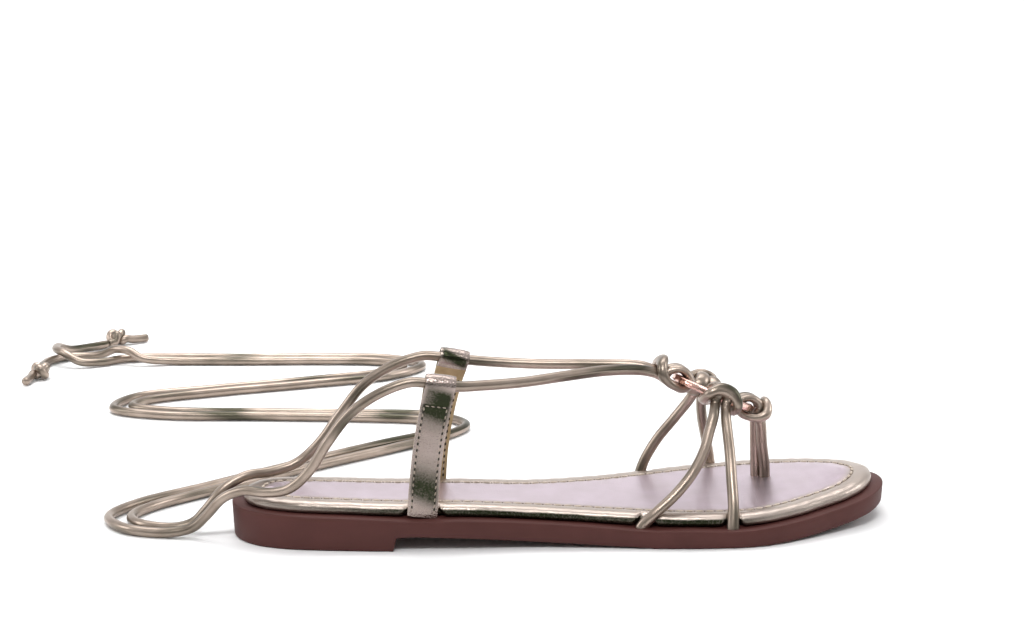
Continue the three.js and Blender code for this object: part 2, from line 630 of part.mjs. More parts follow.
// Overhand knot that stops the tie's end: its round outer form and its short tail, on the floor
const KNOT_LONG = 11;
const KNOT_WIDE = 9.6;
const KNOT_TALL = 7.6;
const KNOT_TAIL = 8;
function makeKnot(route) {
  const end = new THREE.Vector3(...route.at(-1));
  const heading = end.clone().sub(new THREE.Vector3(...route.at(-2))).normalize();
  const along = (distance) => end.clone().addScaledVector(heading, distance).toArray();
  const lump = new THREE.SphereGeometry(0.5, 16, 10);
  lump.scale(KNOT_LONG, KNOT_WIDE, KNOT_TALL);
  lump.rotateZ(Math.atan2(heading.y, heading.x));
  const [x, y] = along(GAP + KNOT_LONG / 2 + 1);
  lump.translate(x, y, KNOT_TALL / 2 + GAP);
  const throughLump = cordThrough([along(GAP), along(KNOT_LONG), along(KNOT_LONG + KNOT_TAIL)], KNOT_LONG);
  return toGeometry(toSolid(lump).add(toSolid(throughLump)));
}

// Materials
const material = (color, roughness, metalness) => new THREE.MeshStandardMaterial({ color, roughness, metalness });
const rubber = () => material(0x5a3936, 0.6, 0);
const goldLeather = () => material(0xcdbf9c, 0.3, 0.7);
const footbedLeather = () => material(0xdccbc0, 0.3, 0.6);
const roseGold = () => material(0xe6beb4, 0.2, 1);

const sandal = new THREE.Group();
function addPiece(name, geometry, pieceMaterial) {
  geometry.translate(-HEEL_SEAT_X, 0, 0);
  const mesh = new THREE.Mesh(geometry, pieceMaterial);
  mesh.name = name;
  sandal.add(mesh);
}

addPiece("outsole", makeOutsole(), rubber());
addPiece("footbed", makeFootbed(), footbedLeather());
addPiece("tab_lateral", makeTab(TABS.lateral), goldLeather());
addPiece("tab_medial", makeTab(TABS.medial), goldLeather());
addPiece("ring", makeRing(), roseGold());
for (const [name, route] of Object.entries(STRAP_CORDS)) {
  addPiece(name, squeezedCord(route), goldLeather());
}
for (const [name, route] of Object.entries(FREE_TIES)) {
  addPiece(name, cordThrough(route, TIE_STEP), goldLeather());
}
addPiece("knot_lateral", makeKnot(FREE_TIES.tie_lateral), goldLeather());
addPiece("knot_medial", makeKnot(FREE_TIES.tie_medial), goldLeather());

export default sandal;
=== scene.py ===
import math

import bpy
import numpy as np
from mathutils import Matrix, Vector


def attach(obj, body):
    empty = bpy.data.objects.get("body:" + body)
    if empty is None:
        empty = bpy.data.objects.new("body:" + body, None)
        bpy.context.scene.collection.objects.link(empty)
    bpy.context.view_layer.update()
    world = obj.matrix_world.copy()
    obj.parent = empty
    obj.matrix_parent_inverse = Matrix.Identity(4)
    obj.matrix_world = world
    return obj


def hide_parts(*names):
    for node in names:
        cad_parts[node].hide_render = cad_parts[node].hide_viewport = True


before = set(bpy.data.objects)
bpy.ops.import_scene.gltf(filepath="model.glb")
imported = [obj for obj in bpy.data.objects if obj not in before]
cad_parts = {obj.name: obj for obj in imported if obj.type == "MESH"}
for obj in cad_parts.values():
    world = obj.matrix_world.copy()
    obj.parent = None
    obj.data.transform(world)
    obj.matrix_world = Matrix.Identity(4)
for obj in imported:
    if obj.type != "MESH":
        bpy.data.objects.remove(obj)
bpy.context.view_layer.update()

# Sizes are in millimetres from the heel's back, as on a pattern maker's drawing, until row() turns them
# into metres in the row frame.
MM = 0.001
SOLE_LENGTH = 258.0
BALL_WIDTH = 91.5
HEEL_HEIGHT = 13.4
HEEL_SEAT_X = 31
GAP = 0.3

LEDGE = 4.6
CHANNEL_INSET = 7.6
BREAST_X = 61.0
BREAST_LEAN = 1.3
BALL_FLAT = (160, 197)
RIM_DIP = 0.6
RIM_DIP_REACH = 14
FOOT_GAP = 0.65

CORD_D = 4.0
CORD_R = CORD_D / 2
RING_OUTER_D = 34.0
RING_BAR_W = 3.6
RING_BAR_T = 2.2
RING_R = RING_OUTER_D / 2 - RING_BAR_W / 2
RING_CENTRE = np.array([191.5, 8, 49])
RING_PITCH = math.radians(24.5)
RING_ROLL = math.radians(6)
TAB_WIDTH = 11.6
TAB_THICK = 2.4
TAB_EYE_R = 2.8
TAB_LEATHER = 1.1
TAB_PROUD = 0.5

# Plan of the sole: share of the length, and the lateral and medial half widths as shares of the ball width
OUTLINE = np.array([
    (0, -0.044, 0.044), (0.01, 0.079, 0.16), (0.02, 0.126, 0.202), (0.04, 0.184, 0.254),
    (0.08, 0.246, 0.284), (0.16, 0.306, 0.262), (0.245, 0.35, 0.224), (0.35, 0.379, 0.202),
    (0.45, 0.389, 0.213), (0.55, 0.43, 0.29), (0.64, 0.479, 0.391), (0.72, 0.507, 0.464),
    (0.785, 0.503, 0.495), (0.85, 0.437, 0.472), (0.9, 0.361, 0.409), (0.94, 0.298, 0.322),
    (0.968, 0.232, 0.238), (0.988, 0.146, 0.139), (1, 0.005, -0.005),
])
# Side view of the sole: share of the length, and its top and underside as shares of the heel's height
PROFILE = np.array([
    (0, 1.037, 0), (0.08, 1.022, 0), (0.16, 1, 0), (0.245, 0.963, 0.388), (0.33, 0.933, 0.366),
    (0.38, 0.881, 0.306), (0.45, 0.776, 0.194), (0.51, 0.702, 0.123), (0.57, 0.638, 0.056),
    (0.65, 0.582, 0), (0.765, 0.567, 0), (0.82, 0.593, 0.025), (0.86, 0.642, 0.075),
    (0.9, 0.716, 0.149), (0.94, 0.821, 0.254), (0.98, 0.94, 0.373), (1, 1.007, 0.448),
])
# Each strap's foot: share of the sole's length, and its side
STRAP_FEET = {
    "tab_lateral": (0.2822, -1), "tab_medial": (0.3062, 1), "lateral_rear": (0.6085, -1),
    "lateral_front": (0.7422, -1), "medial_rear": (0.6376, 1), "medial_front": (0.757, 1),
}
STRAP_FEET = {name: (along * SOLE_LENGTH, side) for name, (along, side) in STRAP_FEET.items()}


def row(points):
    """Millimetres from the heel's back as metres in the row frame."""
    moved = np.array(points, float)
    moved[..., 0] -= HEEL_SEAT_X
    return moved * MM


def table_value(places, values, at):
    """Smooth value of a table at a place, by a cubic through the rows."""
    places = np.asarray(places, float)
    values = np.asarray(values, float)
    slopes = np.empty(len(values))
    slopes[1:-1] = (values[2:] - values[:-2]) / (places[2:] - places[:-2])
    slopes[0] = (values[1] - values[0]) / (places[1] - places[0])
    slopes[-1] = (values[-1] - values[-2]) / (places[-1] - places[-2])
    at = np.asarray(at, float)
    i = np.clip(np.searchsorted(places, at, side="left") - 1, 0, len(places) - 2)
    span = places[i + 1] - places[i]
    t = (at - places[i]) / span
    a, b = values[i], values[i + 1]
    rise = (2 * a - 2 * b + span * (slopes[i] + slopes[i + 1])) * t**3
    bend = (3 * b - 3 * a - span * (2 * slopes[i] + slopes[i + 1])) * t**2
    return rise + bend + span * slopes[i] * t + a


def lengths(line):
    """Length along a line up to each of its points."""
    return np.concatenate([[0], np.cumsum(np.linalg.norm(np.diff(line, axis=0), axis=1))])


def line_at(line, at):
    """Points of a line at these lengths along it."""
    return np.column_stack([np.interp(at, lengths(line), column) for column in line.T])


def unit(vector):
    return vector / np.linalg.norm(vector)


def tangents_of(line):
    ways = np.gradient(line, axis=0)
    return ways / np.linalg.norm(ways, axis=1)[:, None]


def round_station(share):
    return np.arccos(1 - 2 * np.clip(share, 0, 1))


def edge_y(x, side):
    column = 2 if side > 0 else 1
    station = round_station(np.asarray(x, float) / SOLE_LENGTH)
    return side * BALL_WIDTH * table_value(round_station(OUTLINE[:, 0]), OUTLINE[:, column], station)


def sole_top(x):
    return HEEL_HEIGHT * table_value(PROFILE[:, 0], PROFILE[:, 1], np.asarray(x, float) / SOLE_LENGTH)


def sole_under(x):
    x = np.asarray(x, float)
    waist = HEEL_HEIGHT * table_value(PROFILE[:, 0], PROFILE[:, 2], x / SOLE_LENGTH)
    lean = np.clip((x - BREAST_X) / BREAST_LEAN, 0, 1)
    flat_ball = (x > BALL_FLAT[0]) & (x < BALL_FLAT[1])
    return np.where(flat_ball, 0, np.maximum(waist, 0)) * lean


def rim_dip(x, side):
    feet = [place for place, foot_side in STRAP_FEET.values() if foot_side == side]
    return RIM_DIP * sum(np.exp(-(((x - place) / RIM_DIP_REACH) ** 2)) for place in feet)


def ledge_top(x, side):
    return sole_top(x) - rim_dip(x, side)


def foot_place(name):
    """Middle of a strap's foot on the sole's ledge."""
    x, side = STRAP_FEET[name]
    y = float(edge_y(x, side)) - side * LEDGE
    return np.array([x, y, float(ledge_top(x, side)) + FOOT_GAP])


# Materials

# Dark green of the painted reflection, mixed into the foil leather's colour
PAINTED_REFLECTION_TONE = (0.022, 0.027, 0.011)


def new_material(name):
    material = bpy.data.materials.new(name)
    material.use_nodes = True
    tree = material.node_tree
    return material, tree, tree.nodes["Principled BSDF"]


def feed(node, inputs):
    """Sets a node's inputs, each to a value or linked from another node's output."""
    for name, value in inputs.items():
        if isinstance(value, bpy.types.NodeSocket):
            node.id_data.links.new(value, node.inputs[name])
        else:
            node.inputs[name].default_value = value
    return node


def coordinates(tree, kind="Object", scale=(1, 1, 1)):
    source = tree.nodes.new("ShaderNodeTexCoord")
    mapping = tree.nodes.new("ShaderNodeMapping")
    return feed(mapping, {"Scale": scale, "Vector": source.outputs[kind]}).outputs["Vector"]


def noise(tree, vector, scale, detail=3.0, rough=0.5):
    inputs = {"Scale": scale, "Detail": detail, "Roughness": rough, "Vector": vector}
    return feed(tree.nodes.new("ShaderNodeTexNoise"), inputs).outputs["Fac"]


def ramp(tree, factor, stops):
    node = tree.nodes.new("ShaderNodeValToRGB")
    elements = node.color_ramp.elements
    for element, (place, color) in zip(elements, stops):
        element.position = place
        element.color = (*color, 1)
    for place, color in stops[2:]:
        element = elements.new(place)
        element.color = (*color, 1)
    return feed(node, {"Fac": factor}).outputs["Color"]


def mapped(tree, factor, low, high, from_low=0.0, from_high=1.0):
    inputs = {"From Min": from_low, "From Max": from_high, "To Min": low, "To Max": high, "Value": factor}
    return feed(tree.nodes.new("ShaderNodeMapRange"), inputs).outputs["Result"]


def bump(tree, height, strength, distance, normal=None):
    inputs = {"Strength": strength, "Distance": distance, "Height": height}
    if normal is not None:
        inputs["Normal"] = normal
    return feed(tree.nodes.new("ShaderNodeBump"), inputs).outputs["Normal"]


def blended(tree, share, color, other):
    node = tree.nodes.new("ShaderNodeMix")
    node.data_type = "RGBA"
    return feed(node, {"Factor": share, "A": color, "B": (*other, 1)}).outputs["Result"]


def math_node(tree, operation, a, b):
    node = tree.nodes.new("ShaderNodeMath")
    node.operation = operation
    return feed(node, {0: a, 1: b}).outputs["Value"]


def attribute(tree, name):
    node = tree.nodes.new("ShaderNodeAttribute")
    node.attribute_name = name
    return node.outputs["Fac"]


# Cells of the noise on a cord, per metre of its length and per turn round it; the first places the painted
# dark reflection streaks
REFLECTION_STREAK_CELLS = (26, 1.7, 1)
WRINKLE_CELLS = (1500, 2.2, 1)
CREASE_CELLS = (28, 5.0, 1)
GRAIN_SIZE = 0.0006
FOIL_METALLIC = 0.92


def foil_leather(name, light, dark, rough, grain, crinkle=False, rim_and_shade_tone=None):
    """Metallic foil on soft leather: fine grain, slow unevenness, a painted dark green reflection where the
    piece's "painted_reflection" values say so, another tone on its rim that goes on as painted shade inside
    the channel, and painted dark reflection streaks and crinkles along a cord."""
    material, tree, shader = new_material(name)
    place = coordinates(tree)
    slow = noise(tree, place, 90, 2)
    pores = feed(tree.nodes.new("ShaderNodeTexVoronoi"), {"Scale": 1 / GRAIN_SIZE, "Vector": place})
    fine = noise(tree, place, 1.7 / GRAIN_SIZE, 4, 0.6)
    color = ramp(tree, slow, [(0.3, dark), (0.72, light)])
    # The rim's tan tone, carried on inside the channel as painted shade in its valley
    if rim_and_shade_tone:
        color = blended(tree, attribute(tree, "rim"), color, rim_and_shade_tone)
    uneven = mapped(tree, noise(tree, place, 1300, 3, 0.6), 0.85, 1.2, 0.3, 0.7)
    # Painted reflection: dark green mixed in as far as the piece's painted_reflection values say, made uneven
    share = math_node(tree, "MULTIPLY", attribute(tree, "painted_reflection"), uneven)
    if crinkle:
        # Painted dark reflection streaks along a cord
        reflection_streaks = noise(tree, coordinates(tree, "UV", REFLECTION_STREAK_CELLS), 1, 1)
        share = math_node(tree, "ADD", share, mapped(tree, reflection_streaks, 0, 0.85, 0.5, 0.67))
    feed(shader, {
        "Base Color": blended(tree, share, color, PAINTED_REFLECTION_TONE),
        "Roughness": mapped(tree, fine, rough - 0.03, rough + 0.04, 0.3, 0.7),
        "Metallic": FOIL_METALLIC, "Coat Weight": 0.1, "Coat Roughness": 0.12,
    })
    normal = bump(tree, slow, 0.08, 0.0005)
    normal = bump(tree, pores.outputs["Distance"], grain, 0.0002, normal)
    normal = bump(tree, fine, grain * 0.5, 0.0001, normal)
    if crinkle:
        wrinkles = noise(tree, coordinates(tree, "UV", WRINKLE_CELLS), 1, 2)
        height = math_node(tree, "MULTIPLY", wrinkles, attribute(tree, "bend"))
        normal = bump(tree, height, 0.9, 0.0006, normal)
        creases = noise(tree, coordinates(tree, "UV", CREASE_CELLS), 1, 3)
        normal = bump(tree, creases, 0.045, 0.0005, normal)
    feed(shader, {"Normal": normal})
    return material


def mottled(name, scale, detail, stops, rough=0.5):
    """A material whose tone drifts slowly between the stops' colours, and that drift."""
    material, tree, shader = new_material(name)
    slow = noise(tree, coordinates(tree), scale, detail)
    feed(shader, {"Base Color": ramp(tree, slow, stops), "Roughness": rough})
    return material, tree, shader, slow


def moulded_rubber():
    material, tree, shader, slow = mottled(
        "sole_rubber", 60, 3, [(0.25, (0.068, 0.0192, 0.0155)), (0.75, (0.084, 0.0248, 0.0208))]
    )
    fine = noise(tree, coordinates(tree), 2600, 3, 0.6)
    feed(shader, {"Roughness": mapped(tree, fine, 0.5, 0.66), "Specular IOR Level": 0.3})
    feed(shader, {"Normal": bump(tree, fine, 0.22, 0.00012, bump(tree, slow, 0.08, 0.0005))})
    return material


def tread_rubber():
    """The sole's underside: the same rubber with a fine cross-ribbed tread."""
    material = moulded_rubber()
    material.name = "tread_rubber"
    tree = material.node_tree
    shader = tree.nodes["Principled BSDF"]
    waves = tree.nodes.new("ShaderNodeTexWave")
    waves.wave_type = "BANDS"
    waves.bands_direction = "DIAGONAL"
    feed(waves, {"Scale": 160, "Distortion": 0, "Vector": coordinates(tree)})
    before = shader.inputs["Normal"].links[0].from_socket
    feed(shader, {"Normal": bump(tree, waves.outputs["Fac"], 0.7, 0.0006, before)})
    return material


def rose_gold():
    stops = [(0.3, (0.78, 0.46, 0.38)), (0.7, (0.9, 0.62, 0.54))]
    material, tree, shader, slow = mottled("rose_gold", 260, 2, stops)
    fine = noise(tree, coordinates(tree), 1800, 2)
    feed(shader, {"Roughness": mapped(tree, fine, 0.12, 0.26), "Metallic": 1.0})
    feed(shader, {"Normal": bump(tree, slow, 0.5, 0.0008)})
    return material


def thread(name, light, dark):
    material, tree, shader, _ = mottled(name, 400, 2, [(0.3, dark), (0.7, light)], 0.55)
    twist = tree.nodes.new("ShaderNodeTexWave")
    twist.bands_direction = "DIAGONAL"
    feed(twist, {"Scale": 1500, "Vector": coordinates(tree)})
    feed(shader, {"Normal": bump(tree, twist.outputs["Fac"], 0.6, 0.0002)})
    return material


# Needle holes as small dark marks: painted shade inside the holes
def needle_hole_shade(name, light, dark):
    return mottled(name, 900, 2, [(0.3, dark), (0.7, light)], 0.8)[0]


def suede_lining():
    """Tan-gold inner face of the straps."""
    stops = [(0.3, (0.34, 0.235, 0.12)), (0.7, (0.46, 0.335, 0.19))]
    material, tree, shader, _ = mottled("lining", 200, 3, stops)
    fine = noise(tree, coordinates(tree), 2400, 4, 0.65)
    feed(shader, {"Metallic": 0.35, "Roughness": mapped(tree, fine, 0.45, 0.65)})
    feed(shader, {"Normal": bump(tree, fine, 0.35, 0.0002)})
    return material


GOLD_LIGHT = (0.435, 0.352, 0.293)
GOLD_DARK = (0.308, 0.247, 0.2)
STRAP_LIGHT = (0.45, 0.37, 0.335)
STRAP_DARK = (0.37, 0.3, 0.268)
FOOTBED_LIGHT = (0.63, 0.525, 0.59)
FOOTBED_DARK = (0.565, 0.468, 0.515)
# Tan of the footbed's wrapped rim, also the painted shade in the channel's valley
FOOTBED_RIM_AND_SHADE = (0.49, 0.415, 0.365)
MATERIALS = {
    "cord": foil_leather("cord_leather", GOLD_LIGHT, GOLD_DARK, 0.33, 0.08, crinkle=True),
    "strap": foil_leather("strap_leather", STRAP_LIGHT, STRAP_DARK, 0.25, 0.45),
    "footbed": foil_leather("footbed_leather", FOOTBED_LIGHT, FOOTBED_DARK, 0.36, 0.3, rim_and_shade_tone=FOOTBED_RIM_AND_SHADE),
    "rubber": moulded_rubber(),
    "tread": tread_rubber(),
    "ring": rose_gold(),
    "thread": thread("thread", (0.72, 0.62, 0.52), (0.56, 0.47, 0.38)),
    "seam_thread": thread("seam_thread", (0.5, 0.41, 0.33), (0.36, 0.29, 0.23)),
    "hole": needle_hole_shade("needle_hole_shade", (0.03, 0.024, 0.014), (0.012, 0.01, 0.006)),
    "channel_hole": needle_hole_shade("channel_hole", (0.24, 0.19, 0.15), (0.17, 0.13, 0.1)),
    "lining": suede_lining(),
}


# Making meshes

def new_object(name, data):
    added = bpy.data.objects.new(name, data)
    bpy.context.scene.collection.objects.link(added)
    return added


def smooth_mesh(name, points, faces, materials):
    mesh = bpy.data.meshes.new(name)
    mesh.from_pydata([tuple(map(float, p)) for p in points], [], [tuple(map(int, f)) for f in faces])
    for material in materials:
        mesh.materials.append(material)
    mesh.polygons.foreach_set("use_smooth", [True] * len(mesh.polygons))
    return mesh


def add_mesh(name, points, faces, material, uv=None, attributes=None, material_ids=None):
    """A piece of the sandal that rides on its one body. points are in metres in the row frame."""
    materials = material if isinstance(material, list) else [material]
    mesh = smooth_mesh(name, points, faces, [MATERIALS[one] for one in materials])
    if material_ids is not None:
        mesh.polygons.foreach_set("material_index", list(map(int, material_ids)))
    if uv is not None:
        layer = mesh.uv_layers.new(name="UVMap")
        corner_points = np.empty(len(mesh.loops), int)
        mesh.loops.foreach_get("vertex_index", corner_points)
        layer.data.foreach_set("uv", np.asarray(uv, float)[corner_points].ravel())
    for key, values in (attributes or {}).items():
        layer = mesh.attributes.new(key, "FLOAT", "POINT")
        layer.data.foreach_set("value", np.asarray(values, float))
    mesh.update()
    piece = new_object(name, mesh)
    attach(piece, "root")
    return piece


def tube_faces(rings, around, start=0):
    """Faces between rings of points, and the tube's two ends."""
    faces = []
    for i in range(rings - 1):
        for k in range(around):
            a, b = start + i * around + k, start + i * around + (k + 1) % around
            faces.append((a, b, b + around, a + around))
    last = start + (rings - 1) * around
    faces.append(tuple(start + k for k in range(around - 1, -1, -1)))
    faces.append(tuple(last + k for k in range(around)))
    return faces


def between(t, start, end, a, b):
    """Straight blend from a at start to b at end."""
    return (end - t) / (end - start) * a + (t - start) / (end - start) * b


def smooth_path(points, step, *columns):
    """Even points along a centripetal curve through points, and the columns of values that go with them."""
    points = np.asarray(points, float)
    ends = [2 * points[0] - points[1], 2 * points[-1] - points[-2]]
    knots = np.vstack([ends[0], points, ends[1]])
    fine, parts = [], 24
    for i in range(1, len(knots) - 2):
        p0, p1, p2, p3 = knots[i - 1 : i + 3]
        t0 = 0.0
        t1 = t0 + math.sqrt(np.linalg.norm(p1 - p0))
        t2 = t1 + math.sqrt(np.linalg.norm(p2 - p1))
        t3 = t2 + math.sqrt(np.linalg.norm(p3 - p2))
        t = np.linspace(t1, t2, parts, endpoint=False)[:, None]
        a1, a2, a3 = between(t, t0, t1, p0, p1), between(t, t1, t2, p1, p2), between(t, t2, t3, p2, p3)
        fine.append(between(t, t1, t2, between(t, t0, t2, a1, a2), between(t, t1, t3, a2, a3)))
    fine = np.vstack([*fine, points[-1:]])
    along = lengths(fine)
    count = max(8, int(round(along[-1] / step)))
    at = np.linspace(0, along[-1], count + 1)
    path = line_at(fine, at)
    spread = [np.interp(at, along[::parts], np.asarray(column, float)) for column in columns]
    return (path, *spread) if columns else path


def path_frames(path):
    """Tangents and two cross directions along a path, turning as little as they can."""
    tangents = tangents_of(path)
    first = np.cross(tangents[0], [0, 0, 1.0])
    if np.linalg.norm(first) < 0.1:
        first = np.cross(tangents[0], [0, 1.0, 0])
    sides = [unit(first)]
    for tangent in tangents[1:]:
        sides.append(unit(sides[-1] - tangent * np.dot(sides[-1], tangent)))
    sides = np.array(sides)
    return tangents, sides, np.cross(tangents, sides)


# Points round a cord, the length over which a cut end rounds off and how much narrower it gets there
CORD_AROUND = 24
END_ROUND = 0.6
END_NARROWER = 0.12
# How soon a bend wrinkles the leather, and how much more on its inner than its outer side
BEND_WRINKLES = 4.5
SIDE_WRINKLES = 0.35
INNER_WRINKLES = 0.65


def cord_mesh(name, route, step, replaced):
    """Leather cord along a route. A row of the route is a place, or a place with the direction away from
    the bar that presses it, its thickness that way and its width across."""
    if len(route[0]) == 4:
        places, ways, thick, wide = zip(*route)
        ways = np.array(ways)
        path, thick, wide, *way = smooth_path(places, step, thick, wide, *ways.T)
        away = np.column_stack(way)
    else:
        path = smooth_path(route, step)
        thick = wide = np.full(len(path), CORD_D)
        away = np.tile([0, 0, 1.0], (len(path), 1))
    tangents, sides, ups = path_frames(path)
    along = lengths(path)
    turn = np.gradient(tangents, axis=0)
    curvature = np.linalg.norm(turn, axis=1) / np.maximum(np.gradient(along), 1e-6)
    thin = away - tangents * np.sum(away * tangents, axis=1)[:, None]
    thin /= np.maximum(np.linalg.norm(thin, axis=1), 1e-6)[:, None]
    broad = np.cross(tangents, thin)
    angles = 2 * math.pi * np.arange(CORD_AROUND) / CORD_AROUND
    points, uv, bends = [], [], []
    for i, centre in enumerate(path):
        from_end = min(along[i], along[-1] - along[i], END_ROUND) / END_ROUND
        taper = 1 - END_NARROWER * (1 - math.sqrt(1 - (1 - from_end) ** 2))
        uneven = 1 + 0.018 * np.cos(2 * angles + along[i] * 0.05)
        uneven += 0.012 * np.cos(5 * angles + along[i] * 0.11)
        rays = np.cos(angles)[:, None] * sides[i] + np.sin(angles)[:, None] * ups[i]
        reach = 1 / np.hypot(rays @ thin[i] / (thick[i] / 2), rays @ broad[i] / (wide[i] / 2))
        ring = centre + rays * (reach * taper * uneven)[:, None]
        inner = -rays @ turn[i] / max(np.linalg.norm(turn[i]), 1e-9)
        points.append(ring)
        uv.extend((along[i] * MM, k / CORD_AROUND) for k in range(CORD_AROUND))
        wrinkled = np.clip(SIDE_WRINKLES - INNER_WRINKLES * inner, 0, 1)
        bends.extend(np.clip(curvature[i] * BEND_WRINKLES, 0, 1) * wrinkled)
    points = row(np.vstack(points))
    faces = tube_faces(len(path), CORD_AROUND)
    piece = add_mesh(name, points, faces, "cord", uv=uv, attributes={"bend": bends})
    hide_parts(replaced)
    return piece, row(path)


# Sole outline at stations with round ends

def stations(count, extra=()):
    share = (1 - np.cos(np.pi * np.arange(count + 1) / count)) / 2
    return np.unique(np.concatenate([SOLE_LENGTH * share, extra]))


def outline_points(x, side, inset):
    """Outline moved inwards by inset, a number or one for each station."""
    step = 1e-3
    angle = round_station(x / SOLE_LENGTH)
    low = SOLE_LENGTH * (1 - np.cos(np.clip(angle - step, 0, math.pi))) / 2
    high = SOLE_LENGTH * (1 - np.cos(np.clip(angle + step, 0, math.pi))) / 2
    dx = high - low
    dy = edge_y(high, side) - edge_y(low, side)
    ends = (x <= 0) | (x >= SOLE_LENGTH)
    way = np.where(x <= 0, 1.0, -1.0)
    long = np.maximum(np.hypot(dx, dy), 1e-12)
    nx = np.where(ends, way, side * dy / long)
    ny = np.where(ends, 0.0, -side * dx / long)
    return x + nx * inset, edge_y(x, side) + ny * inset


def level_solid(x, levels):
    """Closed form from levels of (inset, height): points, faces, the faces' kinds and the points' levels."""
    count = len(x)
    points = []
    for inset, height in levels:
        for side in (-1, 1):
            moved = inset(x, side) if callable(inset) else np.full(count, float(inset))
            px, py = outline_points(x, side, moved)
            points.append(np.column_stack([px, py, height(x, side)]))
    points = np.vstack(points)

    def at(level, side, i):
        if i in (0, count - 1):
            side = 0
        return (2 * level + side) * count + i

    faces, kinds = [], []
    last = len(levels) - 1
    for i in range(count - 1):
        for k in range(last):
            faces.append((at(k, 0, i), at(k, 0, i + 1), at(k + 1, 0, i + 1), at(k + 1, 0, i)))
            faces.append((at(k, 1, i + 1), at(k, 1, i), at(k + 1, 1, i), at(k + 1, 1, i + 1)))
            kinds += [k, k]
        faces.append((at(0, 0, i + 1), at(0, 0, i), at(0, 1, i), at(0, 1, i + 1)))
        faces.append((at(last, 0, i), at(last, 0, i + 1), at(last, 1, i + 1), at(last, 1, i)))
        kinds += [-1, last]
    tidy, kept = [], []
    for face, kind in zip(faces, kinds):
        corners = list(dict.fromkeys(face))
        if len(corners) > 2:
            tidy.append(corners)
            kept.append(kind)
    used = sorted({corner for face in tidy for corner in face})
    renumber = {old: new for new, old in enumerate(used)}
    level = np.array(used) // (2 * count)
    return points[used], [[renumber[c] for c in face] for face in tidy], kept, level


def make_outsole():
    breast_end = BREAST_X + BREAST_LEAN
    x = stations(240, extra=(BREAST_X - 0.2, BREAST_X, breast_end, breast_end + 0.3))
    draft, under_round, rim_round = 0.5, 1.2, 0.5
    levels = []
    for angle in np.radians([0, 22, 45, 68, 90]):
        inset = draft + under_round * (1 - math.sin(angle))
        rise = under_round * (1 - math.cos(angle))
        levels.append((inset, lambda x, side, rise=rise: sole_under(x) + rise))
    levels.append((draft * 0.5, lambda x, side: (sole_under(x) + ledge_top(x, side)) / 2))
    for angle in np.radians([0, 30, 60, 90]):
        inset = rim_round * (1 - math.cos(angle))
        drop = rim_round * (1 - math.sin(angle))
        levels.append((inset, lambda x, side, drop=drop: ledge_top(x, side) - drop))
    levels.append((LEDGE + 0.5, ledge_top))
    levels.append((2 * LEDGE, lambda x, side: sole_top(x)))
    points, faces, kinds, _ = level_solid(x, levels)
    piece = add_mesh(
        "outsole_rubber", row(points), faces, ["rubber", "tread"],
        material_ids=[int(kind == -1) for kind in kinds],
    )
    sharpen(piece, 38)
    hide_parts("outsole")


def sharpen(piece, degrees):
    """Edges turned by more than this stay crisp."""
    piece.data.set_sharp_from_angle(angle=math.radians(degrees))


# Footbed: how far its wrapped edge is pushed in and creased where each strap goes down

# Room round a strap in its notch, the notch's flare at the bottom for a side strap and for a cord, and the
# softness of its edges
NOTCH_ROOM = 0.2
NOTCH_FLARE = (2.6, 2.2)
NOTCH_SOFT = 0.28


def notch_depth(x, side, width_share):
    depth = np.zeros_like(x)
    for name, (place, foot_side) in STRAP_FEET.items():
        if foot_side != side:
            continue
        tab = name.startswith("tab")
        flare = NOTCH_FLARE[0 if tab else 1] * width_share
        half = (TAB_WIDTH if tab else CORD_D) / 2 + NOTCH_ROOM + flare
        deep = TAB_THICK - TAB_PROUD + 0.05 if tab else CORD_R
        inside = 1 / (1 + np.exp((np.abs(x - place) - half) / NOTCH_SOFT))
        depth += (deep + NOTCH_ROOM) * inside
    return depth


# Unevenness of the wrapped rim: ripples in its outline, creases over its top and how far it is pinched down
# beside a strap, from its shoulder up and fading out inwards
RIPPLE = 0.1
CREASE = 0.06
PINCH = 0.22
RIM_TOP = 3.9
RIM_SHOULDER = 3
RIM_REACH = 3.4
# Section of the footbed's rim and channel: how far in from the ledge's edge, and how high above the sole
FOOTBED_LEVELS = [
    (1.2, 0.0), (0.5, 0.15), (0.12, 0.6), (0.0, 1.2), (0.0, 1.6), (0.02, 2.0), (0.12, 2.4), (0.28, 2.8),
    (0.5, 3.15), (1.0, 3.65), (1.8, 4.05), (2.7, 4.3), (3.6, 4.4), (4.6, 4.4), (5.5, 4.32), (6.2, 4.22),
    (6.8, 4.06), (7.25, 3.9), (7.6, 3.82), (7.95, 3.9), (8.4, 4.04), (9.0, 4.13), (9.8, 4.16),
    (11.0, 4.14), (13.0, 4.1),
]


# Painted dark reflection low on the footbed's rim: share of the sole's length, and how strong it is
RIM_PAINTED_REFLECTION = [
    (0.0, 0.1), (0.1, 0.25), (0.2, 0.75), (0.3, 0.9), (0.42, 1.0), (0.58, 0.85), (0.7, 1.0),
    (0.75, 0.8), (0.8, 0.2), (1.0, 0),
]


# The painted reflection's upper edge and how softly it ends, and where the rim's tone, carried on as painted
# shade in the channel's valley, ends inside the channel and how softly
PAINTED_REFLECTION_TOP = 3.2
PAINTED_REFLECTION_SOFT = 0.8
RIM_TONE_AND_SHADE_END = 10.6
RIM_TONE_AND_SHADE_SOFT = 3


